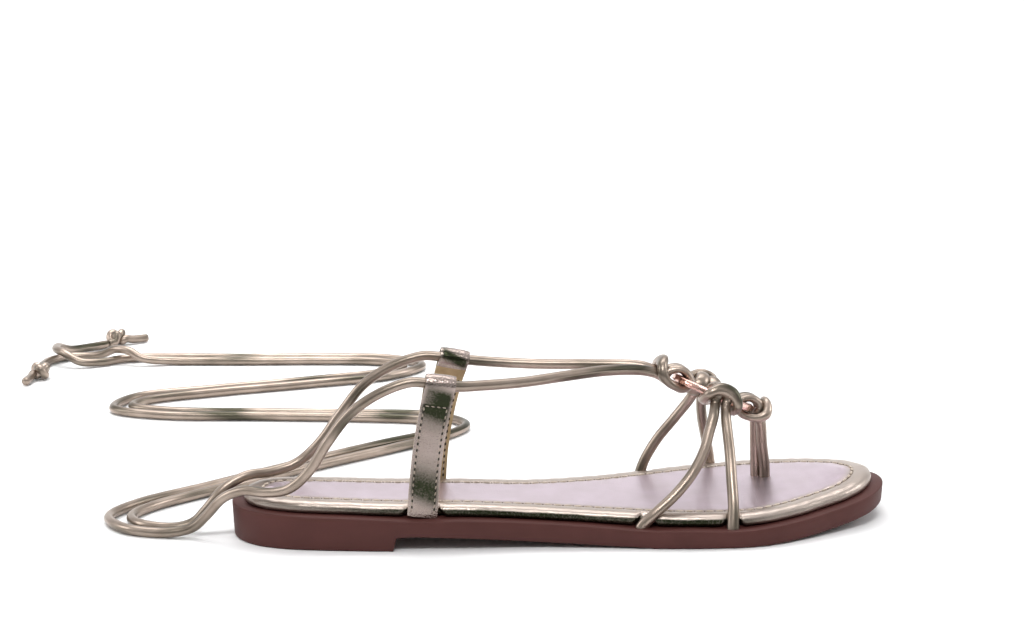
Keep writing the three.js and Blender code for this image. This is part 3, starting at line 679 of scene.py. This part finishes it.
def make_footbed():
    feet = [place for place, _ in STRAP_FEET.values()]
    x = stations(520, extra=[place + off for place in feet for off in np.arange(-9, 9.01, 0.5)])
    levels = []
    for inset, height in FOOTBED_LEVELS:
        share = max(0.0, 1 - height / RIM_REACH)
        upper = height > RIM_SHOULDER
        near = max(0.0, 1 - max(inset - 0.6, 0) / RIM_REACH) if upper else 1.0

        def moved(x, side, inset=inset, share=share, near=near):
            ripple = RIPPLE * near * np.sin(x * 0.35 + side) * np.sin(x * 0.083 + 2 * side)
            return LEDGE + inset + near * notch_depth(x, side, share) + ripple

        def raised(x, side, height=height, near=near, upper=upper):
            crease = CREASE * np.sin(x * 0.9 + 1.3 * side) * math.exp(-(((height - RIM_TOP) / 0.8) ** 2))
            pinch = PINCH * notch_depth(x, side, 0.6) * upper * near
            return sole_top(x) + GAP + height + crease - pinch

        levels.append((moved, raised))
    points, faces, _, level = level_solid(x, levels)
    # Painted dark reflection low on the rim, wavy along its top edge
    place, strength = zip(*RIM_PAINTED_REFLECTION)
    points = np.asarray(points)
    height = points[:, 2] - sole_top(points[:, 0]) - GAP
    waves = 0.16 * np.sin(points[:, 0] * 0.21) + 0.1 * np.sin(points[:, 0] * 0.53 + 1)
    painted_reflection = np.interp(points[:, 0] / SOLE_LENGTH, place, strength)
    painted_reflection *= np.clip((PAINTED_REFLECTION_TOP + waves - height) / PAINTED_REFLECTION_SOFT, 0, 1)
    # The rim's tone, which goes on inside the channel as painted shade in its valley
    inset = np.array([inset for inset, _ in FOOTBED_LEVELS])[level]
    rim = np.clip((RIM_TONE_AND_SHADE_END - inset) / RIM_TONE_AND_SHADE_SOFT, 0, 1)
    tones = {"painted_reflection": painted_reflection, "rim": rim}
    piece = add_mesh("footbed_wrap", row(points), faces, "footbed", attributes=tones)
    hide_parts("footbed")


# Stitches

def capsules(name, places, material, length, width, tall, round_steps=8, long_steps=6):
    """Small rounded threads joined in one mesh. places are (point, direction, up) in millimetres."""
    points, faces = [], []
    for point, direction, up in places:
        direction = unit(direction)
        side = unit(np.cross(up, direction))
        normal = np.cross(direction, side)
        start = len(points)
        for i in range(long_steps + 1):
            t = -1 + 2 * i / long_steps
            fat = math.sqrt(max(0.0, 1 - t**2)) * 0.85 + 0.15
            for k in range(round_steps):
                angle = 2 * math.pi * k / round_steps
                points.append(
                    point + direction * t * length / 2
                    + side * math.cos(angle) * fat * width / 2
                    + normal * math.sin(angle) * fat * tall / 2
                )
        faces += tube_faces(long_steps + 1, round_steps, start)
    add_mesh(name, row(points), faces, material)


CHANNEL_PITCH = 3.9
CHANNEL_FLOOR = 4.12


def make_footbed_stitches():
    """One row of thread all round the footbed's channel, with its needle holes."""
    dense = stations(900)
    inset = LEDGE + CHANNEL_INSET
    lateral, medial = (
        np.column_stack([*outline_points(dense, side, inset), sole_top(dense)]) for side in (-1, 1)
    )
    loop = np.vstack([lateral, medial[::-1]])
    around = lengths(loop)[-1]
    count = int(around // CHANNEL_PITCH)
    up = np.array([0, 0, 1.0])
    threads, holes = [], []
    for i in range(count):
        s = (i + 0.5) * around / count
        here, ahead, back = line_at(loop, [s, s + 0.5, s - 0.5])
        here = here + up * (GAP + CHANNEL_FLOOR)
        direction = ahead - back
        threads.append((here, direction, up))
        holes.append((here + unit(direction) * CHANNEL_PITCH / 2 - 0.1 * up, direction, up))
    capsules("footbed_stitches", threads, "thread", 2.9, 1.15, 0.75)
    # Painted shade of the needle holes between the stitches
    capsules("footbed_holes", holes, "channel_hole", 0.75, 0.7, 0.4, 6, 4)


# Side straps

# How far the straps' middles bow towards the heel
TAB_BOW = {"tab_lateral": 1.2, "tab_medial": 2.2}
TABS = {
    "tab_lateral": np.array([80.7, -31, 65.5]),
    "tab_medial": np.array([89.4, 17, 64.6]),
}


def tab_axes(name):
    """Foot, rise and the strap's thickness, up and width directions."""
    x, side = STRAP_FEET[name]
    foot = foot_place(name)
    foot[1] = float(edge_y(x, side)) - side * (LEDGE - TAB_PROUD + TAB_THICK / 2)
    up = TABS[name] - foot
    rise = np.linalg.norm(up)
    up /= rise
    width = unit(np.cross([0, 1.0, 0], up))
    return foot, rise, np.cross(up, width), up, width


def tab_bow(name, share):
    """Shift of a side strap at a share of its height."""
    return np.array([-TAB_BOW[name] * math.sin(math.pi * min(max(share, 0.0), 1.0)), 0, 0])


def tab_centre_line(rise, outwards):
    """Middle line of the folded leather: up the outer face, round the eye and down the inner face."""
    half = TAB_LEATHER / 2 + 0.06
    big = TAB_EYE_R + TAB_LEATHER / 2
    low = rise - 1.95 * (TAB_EYE_R + TAB_LEATHER)
    line = [(half * outwards, z) for z in np.linspace(0.0, low, 26)]
    for t in np.linspace(0.12, 0.88, 7):
        ease = t * t * (3 - 2 * t)
        line.append((outwards * (half + (big * 0.78 - half) * ease), low + (rise - big * 0.62 - low) * t))
    for angle in np.radians(np.linspace(-38, 218, 30)):
        line.append((outwards * big * math.cos(angle), rise + big * math.sin(angle)))
    mirrored = [(-t, z) for t, z in line[:33]][::-1]
    return np.array(line + mirrored)


# Painted dark reflection on a side strap's outer face, and on the loop on its inner face: share of the
# strap's height, and how strong it is
TAB_PAINTED_REFLECTION = [
    (0.0, 0.05), (0.06, 0.08), (0.1, 0.35), (0.16, 0.9), (0.24, 1.0), (0.32, 0.75), (0.4, 0.35),
    (0.5, 0.08), (0.62, 0.12), (0.71, 0.4), (0.78, 1.0), (0.86, 1.1), (0.95, 1.1), (0.985, 0.6),
    (1.01, 0.1), (1.1, 0.0),
]
LOOP_PAINTED_REFLECTION = [(0.0, 0.0), (0.95, 0.1), (0.985, 1.0), (1.025, 1.0), (1.05, 0.1), (1.1, 0.0)]
OUTER_FACE, INNER_FACE = list(zip(*TAB_PAINTED_REFLECTION)), list(zip(*LOOP_PAINTED_REFLECTION))


# The leather's rounded corners, bevelled edges, soft middle and sunk seams
TAB_CORNER = 0.35
EDGE_BEVEL = 0.22
EDGE_WIDTH = 0.75
PILLOW = 0.1
SEAM_SUNK = 0.16
SEAM_WIDTH = 0.45
# Width of the strap's edges where the painted reflection fades, and how the painted reflection slants across
# it
PAINTED_REFLECTION_FADE = 1.4
PAINTED_REFLECTION_SLANT = 0.03


def tab_section():
    """Points round the leather's section: across, outwards, and 1 where the lining shows."""
    half_w, half_t = TAB_WIDTH / 2, TAB_LEATHER / 2
    section = []
    for w in np.linspace(TAB_CORNER - half_w, half_w - TAB_CORNER, 31):
        seam = math.exp(-(((abs(w) - SEAM_PLACE) / SEAM_WIDTH) ** 2))
        pillow = PILLOW * (1 - (w / half_w) ** 2)
        bevel = EDGE_BEVEL if abs(w) > half_w - EDGE_WIDTH else 0.0
        section.append((w, half_t + pillow - SEAM_SUNK * seam - bevel, 0))
    section += [(half_w, half_t - TAB_CORNER, 0), (half_w, -half_t + 0.1, 1)]
    section += [(half_w - TAB_WIDTH * (i / 4) * 0.999, -half_t, 1) for i in range(5)]
    section += [(-half_w, -half_t + 0.1, 1), (-half_w, half_t - TAB_CORNER, 0)]
    return section


def tab_painted_reflection(w, height, inner):
    """How strong the painted dark reflection is at a place across the strap and a share of its height."""
    half_w = TAB_WIDTH / 2
    strength = 1 - 0.8 * max(0.0, abs(w) - half_w + PAINTED_REFLECTION_FADE) / PAINTED_REFLECTION_FADE
    if 0.85 < height < 1:
        strength *= 0.6 + 0.4 * min(1.0, max(0.0, (w + 0.8 * half_w) / half_w))
    heights, strengths = INNER_FACE if inner else OUTER_FACE
    return strength * float(np.interp(height + PAINTED_REFLECTION_SLANT * w / half_w, heights, strengths))


def make_tab(name):
    foot, rise, thick_axis, up_axis, width_axis = tab_axes(name)
    outwards = 1.0 if thick_axis[1] * STRAP_FEET[name][1] > 0 else -1.0
    line = tab_centre_line(rise, outwards)
    at = np.linspace(0, lengths(line)[-1], 260)
    line = line_at(line, at)
    tangent = tangents_of(line)
    normal = np.column_stack([tangent[:, 1], -tangent[:, 0]])
    normal *= np.sign(normal[5, 0] * outwards)
    wobble = np.sin(at * 0.31) * 0.06
    section = tab_section()
    points, painted_reflection = [], []
    for i, (t, z) in enumerate(line):
        for w, n, _ in section:
            lift = n + wobble[i] * (n > 0)
            place = foot + thick_axis * (t + normal[i, 0] * lift) + up_axis * (z + normal[i, 1] * lift)
            points.append(place + width_axis * w + tab_bow(name, z / rise))
            painted_reflection.append(tab_painted_reflection(w, z / rise, t * outwards < 0))
    ids = []
    for t, z in line[:-1]:
        bare = t * outwards < 0 and z < rise - LOOP_TAIL
        ids += [int(bare or (one[2] and after[2])) for one, after in zip(section, section[1:] + section[:1])]
    faces = tube_faces(len(line), len(section))
    piece = add_mesh(
        name + "_leather", row(points), faces, ["strap", "lining"],
        attributes={"painted_reflection": painted_reflection}, material_ids=[*ids, 1, 1],
    )
    sharpen(piece, 50)
    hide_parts(name)


SEAM_PLACE = TAB_WIDTH / 2 - 1.45
SEAM_PITCH = 2.55
SEAM_TOP = 8.6
SEAM_FOOT = 1.2
CROSS_STITCHES = 4
# The leather's tail below the eye on the inner face, where the strap's lining shows further down
LOOP_TAIL = 3.2


def make_tab_stitches(name):
    """Seams along both edges and across below the eye, on the outer and the inner face."""
    foot, rise, thick_axis, up_axis, width_axis = tab_axes(name)
    threads, holes = [], []
    top = rise - SEAM_TOP
    surface = TAB_LEATHER + 0.06
    count = int((top - 1.0) // SEAM_PITCH)
    pitch = (top - SEAM_FOOT) / count
    for face in (-1, 1):
        outward = thick_axis * face
        for edge in (-1, 1):
            for i in range(count):
                z = SEAM_FOOT + (i + 0.5) * pitch
                place = foot + up_axis * z + width_axis * edge * SEAM_PLACE + outward * (surface - 0.02)
                place = place + tab_bow(name, z / rise)
                lean = up_axis + width_axis * 0.12 * edge
                threads.append((place, lean, outward))
                holes.append((place + up_axis * pitch / 2 - outward * 0.02, lean, outward))
        for i in range(CROSS_STITCHES):
            half = SEAM_PLACE / CROSS_STITCHES
            w = -SEAM_PLACE + (2 * i + 1) * half
            place = foot + up_axis * top + width_axis * w + outward * (surface + 0.08)
            place = place + tab_bow(name, top / rise)
            threads.append((place, width_axis - up_axis * 0.1, outward))
            holes.append((place + width_axis * half - outward * 0.04, width_axis, outward))
    capsules(name + "_stitches", threads, "seam_thread", 1.5, 0.5, 0.4, 8, 5)
    # Painted shade of the needle holes between the stitches
    capsules(name + "_holes", holes, "hole", 1.3, 0.72, 0.4, 8, 5)


# Ring and the hitches on it

ring_forward = np.array([math.cos(RING_PITCH), 0, -math.sin(RING_PITCH)])
ring_level = np.array([0, 1.0, 0])
ring_upright = np.array([math.sin(RING_PITCH), 0, math.cos(RING_PITCH)])
ring_side = ring_level * math.cos(RING_ROLL) - ring_upright * math.sin(RING_ROLL)
ring_up = ring_upright * math.cos(RING_ROLL) + ring_level * math.sin(RING_ROLL)
# The hammering swells the bar by this much in width and thickness. How square its section is, and how far a
# dent reaches along and round it.
BAR_SWELL_W = 0.3
BAR_SWELL_T = 0.7
BAR_POWER = 0.55
DENTS = 60
DENT_DEPTH = (0.1, 0.22)
DENT_ALONG = 2.2
DENT_ROUND = 0.9


def rounded(value):
    """Sine or cosine for a section that is squarer than an ellipse."""
    return math.copysign(abs(value) ** BAR_POWER, value)


def make_ring():
    """Flattened bar bent round, with hammered facets."""
    around, section = 120, 20
    bar_w, bar_t = RING_BAR_W + BAR_SWELL_W, RING_BAR_T + BAR_SWELL_T
    full = 2 * math.pi
    rng = np.random.default_rng(4)
    dents = [(rng.uniform(0, full), rng.uniform(0, full), rng.uniform(*DENT_DEPTH)) for _ in range(DENTS)]
    points = []
    for i in range(around):
        turn = full * i / around
        radial = ring_forward * math.cos(turn) + ring_side * math.sin(turn)
        for k in range(section):
            angle = full * k / section
            across = bar_w / 2 * rounded(math.cos(angle))
            tall = bar_t / 2 * rounded(math.sin(angle))
            dent = 0.0
            for place, side, deep in dents:
                away = math.remainder(turn - place, full) * RING_R / DENT_ALONG
                aside = math.remainder(angle - side, full) / DENT_ROUND
                dent = max(dent, deep * (1 - away**2 - aside**2))
            fat = 1 - dent / (bar_t / 2) * 0.8
            points.append(RING_CENTRE + radial * (RING_R + across * fat) + ring_up * tall * fat)
    faces = []
    for i in range(around):
        for k in range(section):
            a = i * section + k
            b = i * section + (k + 1) % section
            c = ((i + 1) % around) * section + (k + 1) % section
            d = ((i + 1) % around) * section + k
            faces.append((a, d, c, b))
    piece = add_mesh("ring_metal", row(points), faces, "ring")
    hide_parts("ring")


def at_ring(turn, along, outwards, up):
    angle = math.radians(turn)
    radial = ring_forward * math.cos(angle) + ring_side * math.sin(angle)
    tangent = -ring_forward * math.sin(angle) + ring_side * math.cos(angle)
    return RING_CENTRE + radial * (RING_R + outwards) + tangent * along + ring_up * up


# Half of a lark's head: along the bar, outwards from it and up from the ring's plane, and the cord's
# thickness away from the bar and its width across it, where it is pressed flat
WRAP = [
    (2.25, 4.1, 1.7, 2.8, 4.0), (2.25, 1.1, 3.35, 2.6, 4.1), (2.5, -1.7, 2.95, 2.6, 4.3),
    (3.1, -4.0, 1.0, 2.6, 4.3), (3.9, -4.1, -1.1, 2.6, 4.3), (4.8, -2.0, -2.95, 2.6, 4.3),
    (5.7, 0.8, -3.0, 2.6, 4.1),
]
# With a leg that comes from below, and with one that comes level with the ring
STEEP_HITCH = [
    (2.2, 4.5, -1.7, 3.6, 3.7), *WRAP, (6.4, 4.0, -2.2, 2.8, 3.6), (6.2, 6.8, -0.1, 2.8, 3.7),
    (4.6, 7.1, 2.0, 2.7, 4.0), (2.4, 6.6, 3.4, 2.7, 4.2), (0, 6.4, 3.8, 2.7, 4.3),
]
LEVEL_HITCH = [
    (2.3, 6.6, -0.7, 3.6, 3.8), *WRAP, (6.7, 4.4, -2.4, 2.8, 3.6), (6.9, 7.4, -0.9, 2.8, 3.7),
    (5.6, 8.8, 2.0, 2.7, 4.0), (2.8, 8.8, 3.5, 2.7, 4.2), (0, 8.6, 4.0, 2.7, 4.3),
]


# The soft leather bulges this much across where it is pressed flat, and away from the bar in a bight, which
# lies farther out than BIGHT_OUT, and in the strands thinner than PRESSED_THIN. Legs and feet are fuller too.
PRESSED_WIDER = 1.3
BIGHT_FULLER = 1.5
BIGHT_OUT = 6
STRAND_FULLER = 1.28
PRESSED_THIN = 3
LEG_FULL = 1.06
FOOT_FULL = 1.12


def hitched_cord(turn, hitch, leg_ahead, leg_back, flared=False):
    """Rows of place, direction away from the bar, thickness and width along a doubled cord."""
    bar = at_ring(turn, 0, 0, 0)

    def half(sign):
        rows = []
        for along, outwards, up, thick, wide in hitch:
            away = unit(at_ring(turn, 0, outwards, up) - bar)
            spread = wide * (PRESSED_WIDER if wide > CORD_D else LEG_FULL)
            place = at_ring(turn, sign * along, outwards, up)
            if outwards > BIGHT_OUT:
                thick *= BIGHT_FULLER
            elif thick < PRESSED_THIN:
                place = place + away * thick * (STRAND_FULLER - 1) / 2
                thick *= STRAND_FULLER
            rows.append((place, away, thick, spread))
        return rows

    ahead = half(1)
    legs = []
    for route in (leg_ahead, leg_back):
        rows = []
        for i, place in enumerate(route):
            full = CORD_D * LEG_FULL * (FOOT_FULL if flared and i > len(route) - 3 else 1)
            rows.append((np.array(place, float), ahead[0][1], CORD_D * LEG_FULL, full))
        legs.append(rows)
    return [*legs[0][::-1], *ahead, *half(-1)[::-1][1:], *legs[1]]


# How far before its foot's place a leg is led straight and past it ends, and how much steeper than it comes
FOOT_AHEAD = 0.6
FOOT_SUNK = 1.6
FOOT_STEEPER = 0.35


def cord_foot(name, leg):
    """A leg with its foot, which goes on the way that the leg comes and into the sole's ledge."""
    place = foot_place(name)
    lean = unit(np.array(leg[-1], float) - place) + np.array([0, 0, FOOT_STEEPER])
    return [*leg, place + FOOT_AHEAD * lean, place - FOOT_SUNK * lean]


LATERAL_FRONT = [
    (193, -16, 44), (193, -20.5, 38.6), (192.9, -26.5, 32), (192.5, -32.8, 23.8), (192.2, -38.6, 15),
]
LATERAL_REAR = [
    (188.2, -16, 45.6), (185.8, -20, 40), (183.2, -24.5, 34), (178, -30.5, 27), (170.6, -35, 19.8),
    (161.6, -38, 12.8),
]
MEDIAL_FRONT = [(190.5, 30.4, 41.2), (191, 33.6, 33.5), (192.8, 37.2, 24.5), (194.7, 39.6, 15.5)]
MEDIAL_REAR = [(185.6, 29.6, 41.4), (179.8, 31.4, 33.5), (172.2, 31.8, 24.3), (166.6, 31.8, 14.8)]
POST_LEFT = [(208.8, 10.3, 37.5), (209.3, 12.3, 27), (209.8, 14.2, 17)]
POST_RIGHT = [(210.2, 6, 37.5), (211.4, 8.4, 27), (212.8, 10.9, 17)]
POST_FEET = [(209.9, 14.4), (212.9, 11.0)]
ARM_LATERAL = [(163.5, 4.4, 59.7), (148, -3, 61.9), (130, -13, 62.7), (113, -21.4, 62.9), (97, -28, 63.8)]
ARM_MEDIAL = [(163.5, 11.4, 59.9), (145, 13.6, 60.8), (124, 15.3, 61.3), (107, 16.6, 62.4)]
# How the tie passes a side strap's eye: its slope, how far it is led straight on each side, and how far
# behind the eye's middle the ankle tie ends and the free tie starts
EYE_SLOPE = 0.15
EYE_REACH = 7
JOINT_BACK = 1
# The toe post's last stretch goes straight down
POST_UPRIGHT = 3
POST_GAP = 1.2 * GAP


def through_eye(name, ahead):
    """Point of the tie in a side strap's eye, this far towards the toe from the eye's middle."""
    return TABS[name] + np.array([ahead, 0, -EYE_SLOPE * ahead])


def arm(route, name):
    """Arm of the ankle tie, led through a side strap's eye."""
    return [*route, through_eye(name, EYE_REACH), through_eye(name, -JOINT_BACK)]


def post_leg(route, place):
    z = float(sole_top(place[0])) + POST_GAP
    return [*route, (*place, z + POST_UPRIGHT), (*place, z)]


STRAP_CORDS = {
    "cord_lateral": hitched_cord(
        -90, STEEP_HITCH, cord_foot("lateral_front", LATERAL_FRONT),
        cord_foot("lateral_rear", LATERAL_REAR), flared=True,
    ),
    "cord_medial": hitched_cord(
        90, STEEP_HITCH, cord_foot("medial_rear", MEDIAL_REAR),
        cord_foot("medial_front", MEDIAL_FRONT), flared=True,
    ),
    "toe_post": hitched_cord(
        0, STEEP_HITCH, post_leg(POST_LEFT, POST_FEET[0]), post_leg(POST_RIGHT, POST_FEET[1])
    ),
    "ankle_tie": hitched_cord(
        180, LEVEL_HITCH, arm(ARM_LATERAL, "tab_lateral"), arm(ARM_MEDIAL, "tab_medial")
    ),
}

# Free ends of the tie: down over the heel, then side by side on the floor in wide bends
FLOOR_Z = CORD_R + GAP
OVER_Z = FLOOR_Z + CORD_D + 3 * GAP
DROP_LATERAL = [
    (69, -31.2, 66.8), (58, -31, 63.2), (46.5, -30, 55.5), (37.5, -28, 44), (30, -25.4, 32),
    (22, -21.5, 24.2), (13, -15.8, 21.6), (4.5, -10.2, 21.2), (-3.5, -5.6, 17.2), (-10.4, -2.4, 9.4),
    (-16, -0.2, 4.3),
]
DROP_MEDIAL = [
    (77.5, 17.3, 66), (66.5, 17.8, 63), (54, 18.4, 55.5), (44, 18.8, 43.5), (35, 19, 31.5), (26, 18.4, 24),
    (15.5, 15.8, 21.5), (5.5, 12.4, 21.1), (-3.5, 9.6, 16.6), (-10.4, 8.4, 9.2), (-15.4, 8.6, 4.2),
]
# Middle line of the pair on the floor, and the distance between the two ties
PAIR_ROUTE = np.array([
    (-24, 5, 8), (-39, 12, 8), (-45, 27, 9), (-36, 43, 8), (-8, 66, 7), (30, 96, 8), (68, 124, 9),
    (90, 140, 8), (99, 156, 9), (88, 171, 9), (54, 181, 7), (12, 190, 7), (-32, 200, 8), (-50, 213, 9),
    (-42, 229, 9), (-8, 240, 7), (36, 250, 7), (74, 261, 8), (87, 277, 9), (74, 291, 8), (40, 299, 7),
    (4, 304, 7), (-28, 310, 8),
], float)
KNOT_LATERAL = [
    (-44, 306.4, FLOOR_Z + 1.8), (-50, 309.5, OVER_Z), (-57, 314.5, OVER_Z),
    (-63, 319.5, FLOOR_Z + 1.8), (-70, 323.5, FLOOR_Z), (-80, 324.2, FLOOR_Z), (-89, 316.5, FLOOR_Z),
    (-92.5, 305, FLOOR_Z), (-94, 294, FLOOR_Z),
]
KNOT_MEDIAL = [
    (-42, 316.2, FLOOR_Z), (-54, 314.5, FLOOR_Z), (-64, 309, FLOOR_Z), (-74, 306.8, FLOOR_Z + 1),
    (-82, 311.5, OVER_Z), (-86, 319.5, OVER_Z), (-85.5, 328, OVER_Z - 0.6), (-80, 336, FLOOR_Z + 1),
    (-71, 344, FLOOR_Z), (-62, 350, FLOOR_Z),
]


def on_floor(side):
    """The pair's route moved to one of its two ties."""
    before = PAIR_ROUTE[np.maximum(np.arange(len(PAIR_ROUTE)) - 1, 0)]
    after = PAIR_ROUTE[np.minimum(np.arange(len(PAIR_ROUTE)) + 1, len(PAIR_ROUTE) - 1)]
    way = after[:, :2] - before[:, :2]
    way /= np.linalg.norm(way, axis=1)[:, None]
    aside = side * PAIR_ROUTE[:, 2] / 2
    x = PAIR_ROUTE[:, 0] - way[:, 1] * aside
    y = PAIR_ROUTE[:, 1] + way[:, 0] * aside
    return [(a, b, FLOOR_Z) for a, b in zip(x, y)]


def free_tie(tab, drop, side, knot):
    """Route of a free tie from its eye to its knot."""
    start = [through_eye(tab, -JOINT_BACK - GAP), through_eye(tab, -EYE_REACH)]
    return [*start, *drop, *on_floor(side), *knot]


FREE_TIES = {
    "lateral": free_tie("tab_lateral", DROP_LATERAL, 1, KNOT_LATERAL),
    "medial": free_tie("tab_medial", DROP_MEDIAL, -1, KNOT_MEDIAL),
}

# Overhand knot at a tie's end: half size of its three lobes, rise of its strands and length of its tail
KNOT_LOBE = 1.2
KNOT_RISE = 1.9
KNOT_OPEN = 0.5
KNOT_CENTRE = 6.8
KNOT_TAIL = 15
KNOT_ASIDE = -3.0


def knot_route(route):
    """Overhand knot that goes on from the end of a tie's route."""
    end, before = np.array(route[-1], float), np.array(route[-2], float)
    heading = unit((end - before)[:2])
    local = [(KNOT_CENTRE, KNOT_ASIDE, 0), (4.8, KNOT_ASIDE, -0.1), (2.9, KNOT_ASIDE, -0.3)]
    for t in np.linspace(math.pi + KNOT_OPEN, 3 * math.pi - KNOT_OPEN, 30):
        local.append((
            KNOT_LOBE * (math.sin(t) + 2 * math.sin(2 * t)),
            KNOT_LOBE * (math.cos(t) - 2 * math.cos(2 * t)),
            -KNOT_RISE * math.sin(3 * t),
        ))
    local += [(-3.2, KNOT_ASIDE, -0.8), (-6.5, KNOT_ASIDE - 0.4, -1.5)]
    local.append((-KNOT_TAIL, KNOT_ASIDE - 1.4, -KNOT_RISE))
    places = []
    for i, (u, v, w) in enumerate(local):
        ahead, aside = KNOT_CENTRE + GAP - u, v - KNOT_ASIDE
        lift = KNOT_RISE + w if i > 2 else KNOT_RISE * 0.12 * i
        places.append((
            end[0] + heading[0] * ahead - heading[1] * aside,
            end[1] + heading[1] * ahead + heading[0] * aside,
            FLOOR_Z + lift,
        ))
    return places


def make_free_ties():
    for name, route in FREE_TIES.items():
        knot, _ = cord_mesh(f"knot_{name}_cord", knot_route(route), 0.6, f"knot_{name}")
        tie, path = cord_mesh(f"tie_{name}_cord", route, 1.6, f"tie_{name}")


# Camera, floor and light

LIGHT_LEVEL = 0.34
CAMERA_PITCH = math.radians(12)
CAMERA_YAW = math.radians(5)
CAMERA_ROLL = math.radians(1)
CAMERA_PLACE = (-0.021, -1.1586, 0.3339)
FOCAL_SHARE = 2.977


def make_camera():
    data = bpy.data.cameras.new("camera")
    data.sensor_width = 36
    data.lens = data.sensor_width * FOCAL_SHARE
    data.clip_end = 20
    camera = new_object("camera", data)
    forward = Vector((
        math.sin(CAMERA_YAW) * math.cos(CAMERA_PITCH),
        math.cos(CAMERA_YAW) * math.cos(CAMERA_PITCH),
        -math.sin(CAMERA_PITCH),
    ))
    level = Vector((math.cos(CAMERA_YAW), -math.sin(CAMERA_YAW), 0))
    upright = level.cross(forward)
    right = level * math.cos(CAMERA_ROLL) - upright * math.sin(CAMERA_ROLL)
    up = right.cross(forward)
    axes = Matrix((right, up, -forward)).transposed().to_4x4()
    camera.matrix_world = Matrix.Translation(CAMERA_PLACE) @ axes
    bpy.context.scene.camera = camera


def make_floor():
    stops = [(0.3, (0.9, 0.9, 0.9)), (0.7, (0.93, 0.93, 0.93))]
    material, _, shader, _ = mottled("studio_floor", 3, 2, stops, 0.9)
    feed(shader, {"Specular IOR Level": 0.1})
    reach, rings, around = 9.0, 12, 48
    points, faces = [(0, 0, 0)], []
    for ring in range(1, rings + 1):
        far = reach * (ring / rings) ** 2
        for k in range(around):
            angle = 2 * math.pi * k / around
            points.append((far * math.cos(angle), far * math.sin(angle), 0))
    for k in range(around):
        after = (k + 1) % around
        faces.append((0, 1 + k, 1 + after))
        for ring in range(rings - 1):
            start = 1 + ring * around
            faces.append((start + k, start + around + k, start + around + after, start + after))
    new_object("studio_floor", smooth_mesh("studio_floor", points, faces, [material]))


def area_light(name, place, target, size, power, spread=180):
    data = bpy.data.lights.new(name, "AREA")
    data.shape = "RECTANGLE"
    data.size, data.size_y = size
    data.energy = power * LIGHT_LEVEL
    data.spread = math.radians(spread)
    light = new_object(name, data)
    light.location = place
    way = Vector(target) - Vector(place)
    light.rotation_euler = way.to_track_quat("-Z", "Y").to_euler()


def make_world():
    """Soft surroundings: brightest above, pale grey at the sides, darker below, dark green low in front."""
    world = bpy.data.worlds.new("studio")
    bpy.context.scene.world = world
    world.use_nodes = True
    tree = world.node_tree
    source = tree.nodes.new("ShaderNodeTexCoord")
    split = feed(tree.nodes.new("ShaderNodeSeparateXYZ"), {"Vector": source.outputs["Generated"]})
    sky = ramp(tree, mapped(tree, split.outputs["Z"], 0, 1, -1, 1), [
        (0.0, (0.3, 0.3, 0.3)), (1.0, (0.9, 0.9, 0.92)),
        (0.5, (0.72, 0.72, 0.72)), (0.75, (0.7, 0.7, 0.71)),
    ])
    front = mapped(tree, split.outputs["Y"], 1, 0, -0.85, -0.25)
    height = math_node(tree, "ABSOLUTE", split.outputs["Z"], 0)
    low = mapped(tree, height, 1, 0, 0.12, 0.5)
    color = blended(tree, math_node(tree, "MULTIPLY", front, low), sky, (0.03, 0.04, 0.022))
    feed(tree.nodes["Background"], {"Color": color, "Strength": 0.8})


def make_light():
    area_light("top_softbox", (0.06, 0.55, 1.3), (0.06, 0.5, 0), (1.6, 0.6), 11, 75)
    area_light("back_wash", (0.0, 1.55, 1.6), (0.0, 1.5, 0), (2.8, 1.2), 31, 90)
    area_light("back_softbox", (0.0, 2.3, 0.55), (0.0, 0.0, 0.45), (3.6, 1.0), 25)
    area_light("front_key", (-0.1, -0.9, 1.15), (0.06, 0.05, 0.03), (0.9, 0.25), 2.3, 45)
    area_light("left_softbox", (-1.2, 0.15, 0.6), (0.0, 0.15, 0.03), (0.5, 0.6), 1.6, 60)
    area_light("right_softbox", (1.3, 0.1, 0.6), (0.1, 0.1, 0.03), (0.5, 0.6), 1.6, 60)
    make_world()


make_camera()
make_free_ties()
make_outsole()
make_footbed()
make_footbed_stitches()
for tab_name in TABS:
    make_tab(tab_name)
    make_tab_stitches(tab_name)
make_ring()
for cord_name, cord_route in STRAP_CORDS.items():
    cord_mesh(cord_name + "_cord", cord_route, 0.7, cord_name)
make_floor()
make_light()
bpy.context.scene.view_settings.view_transform = "Standard"
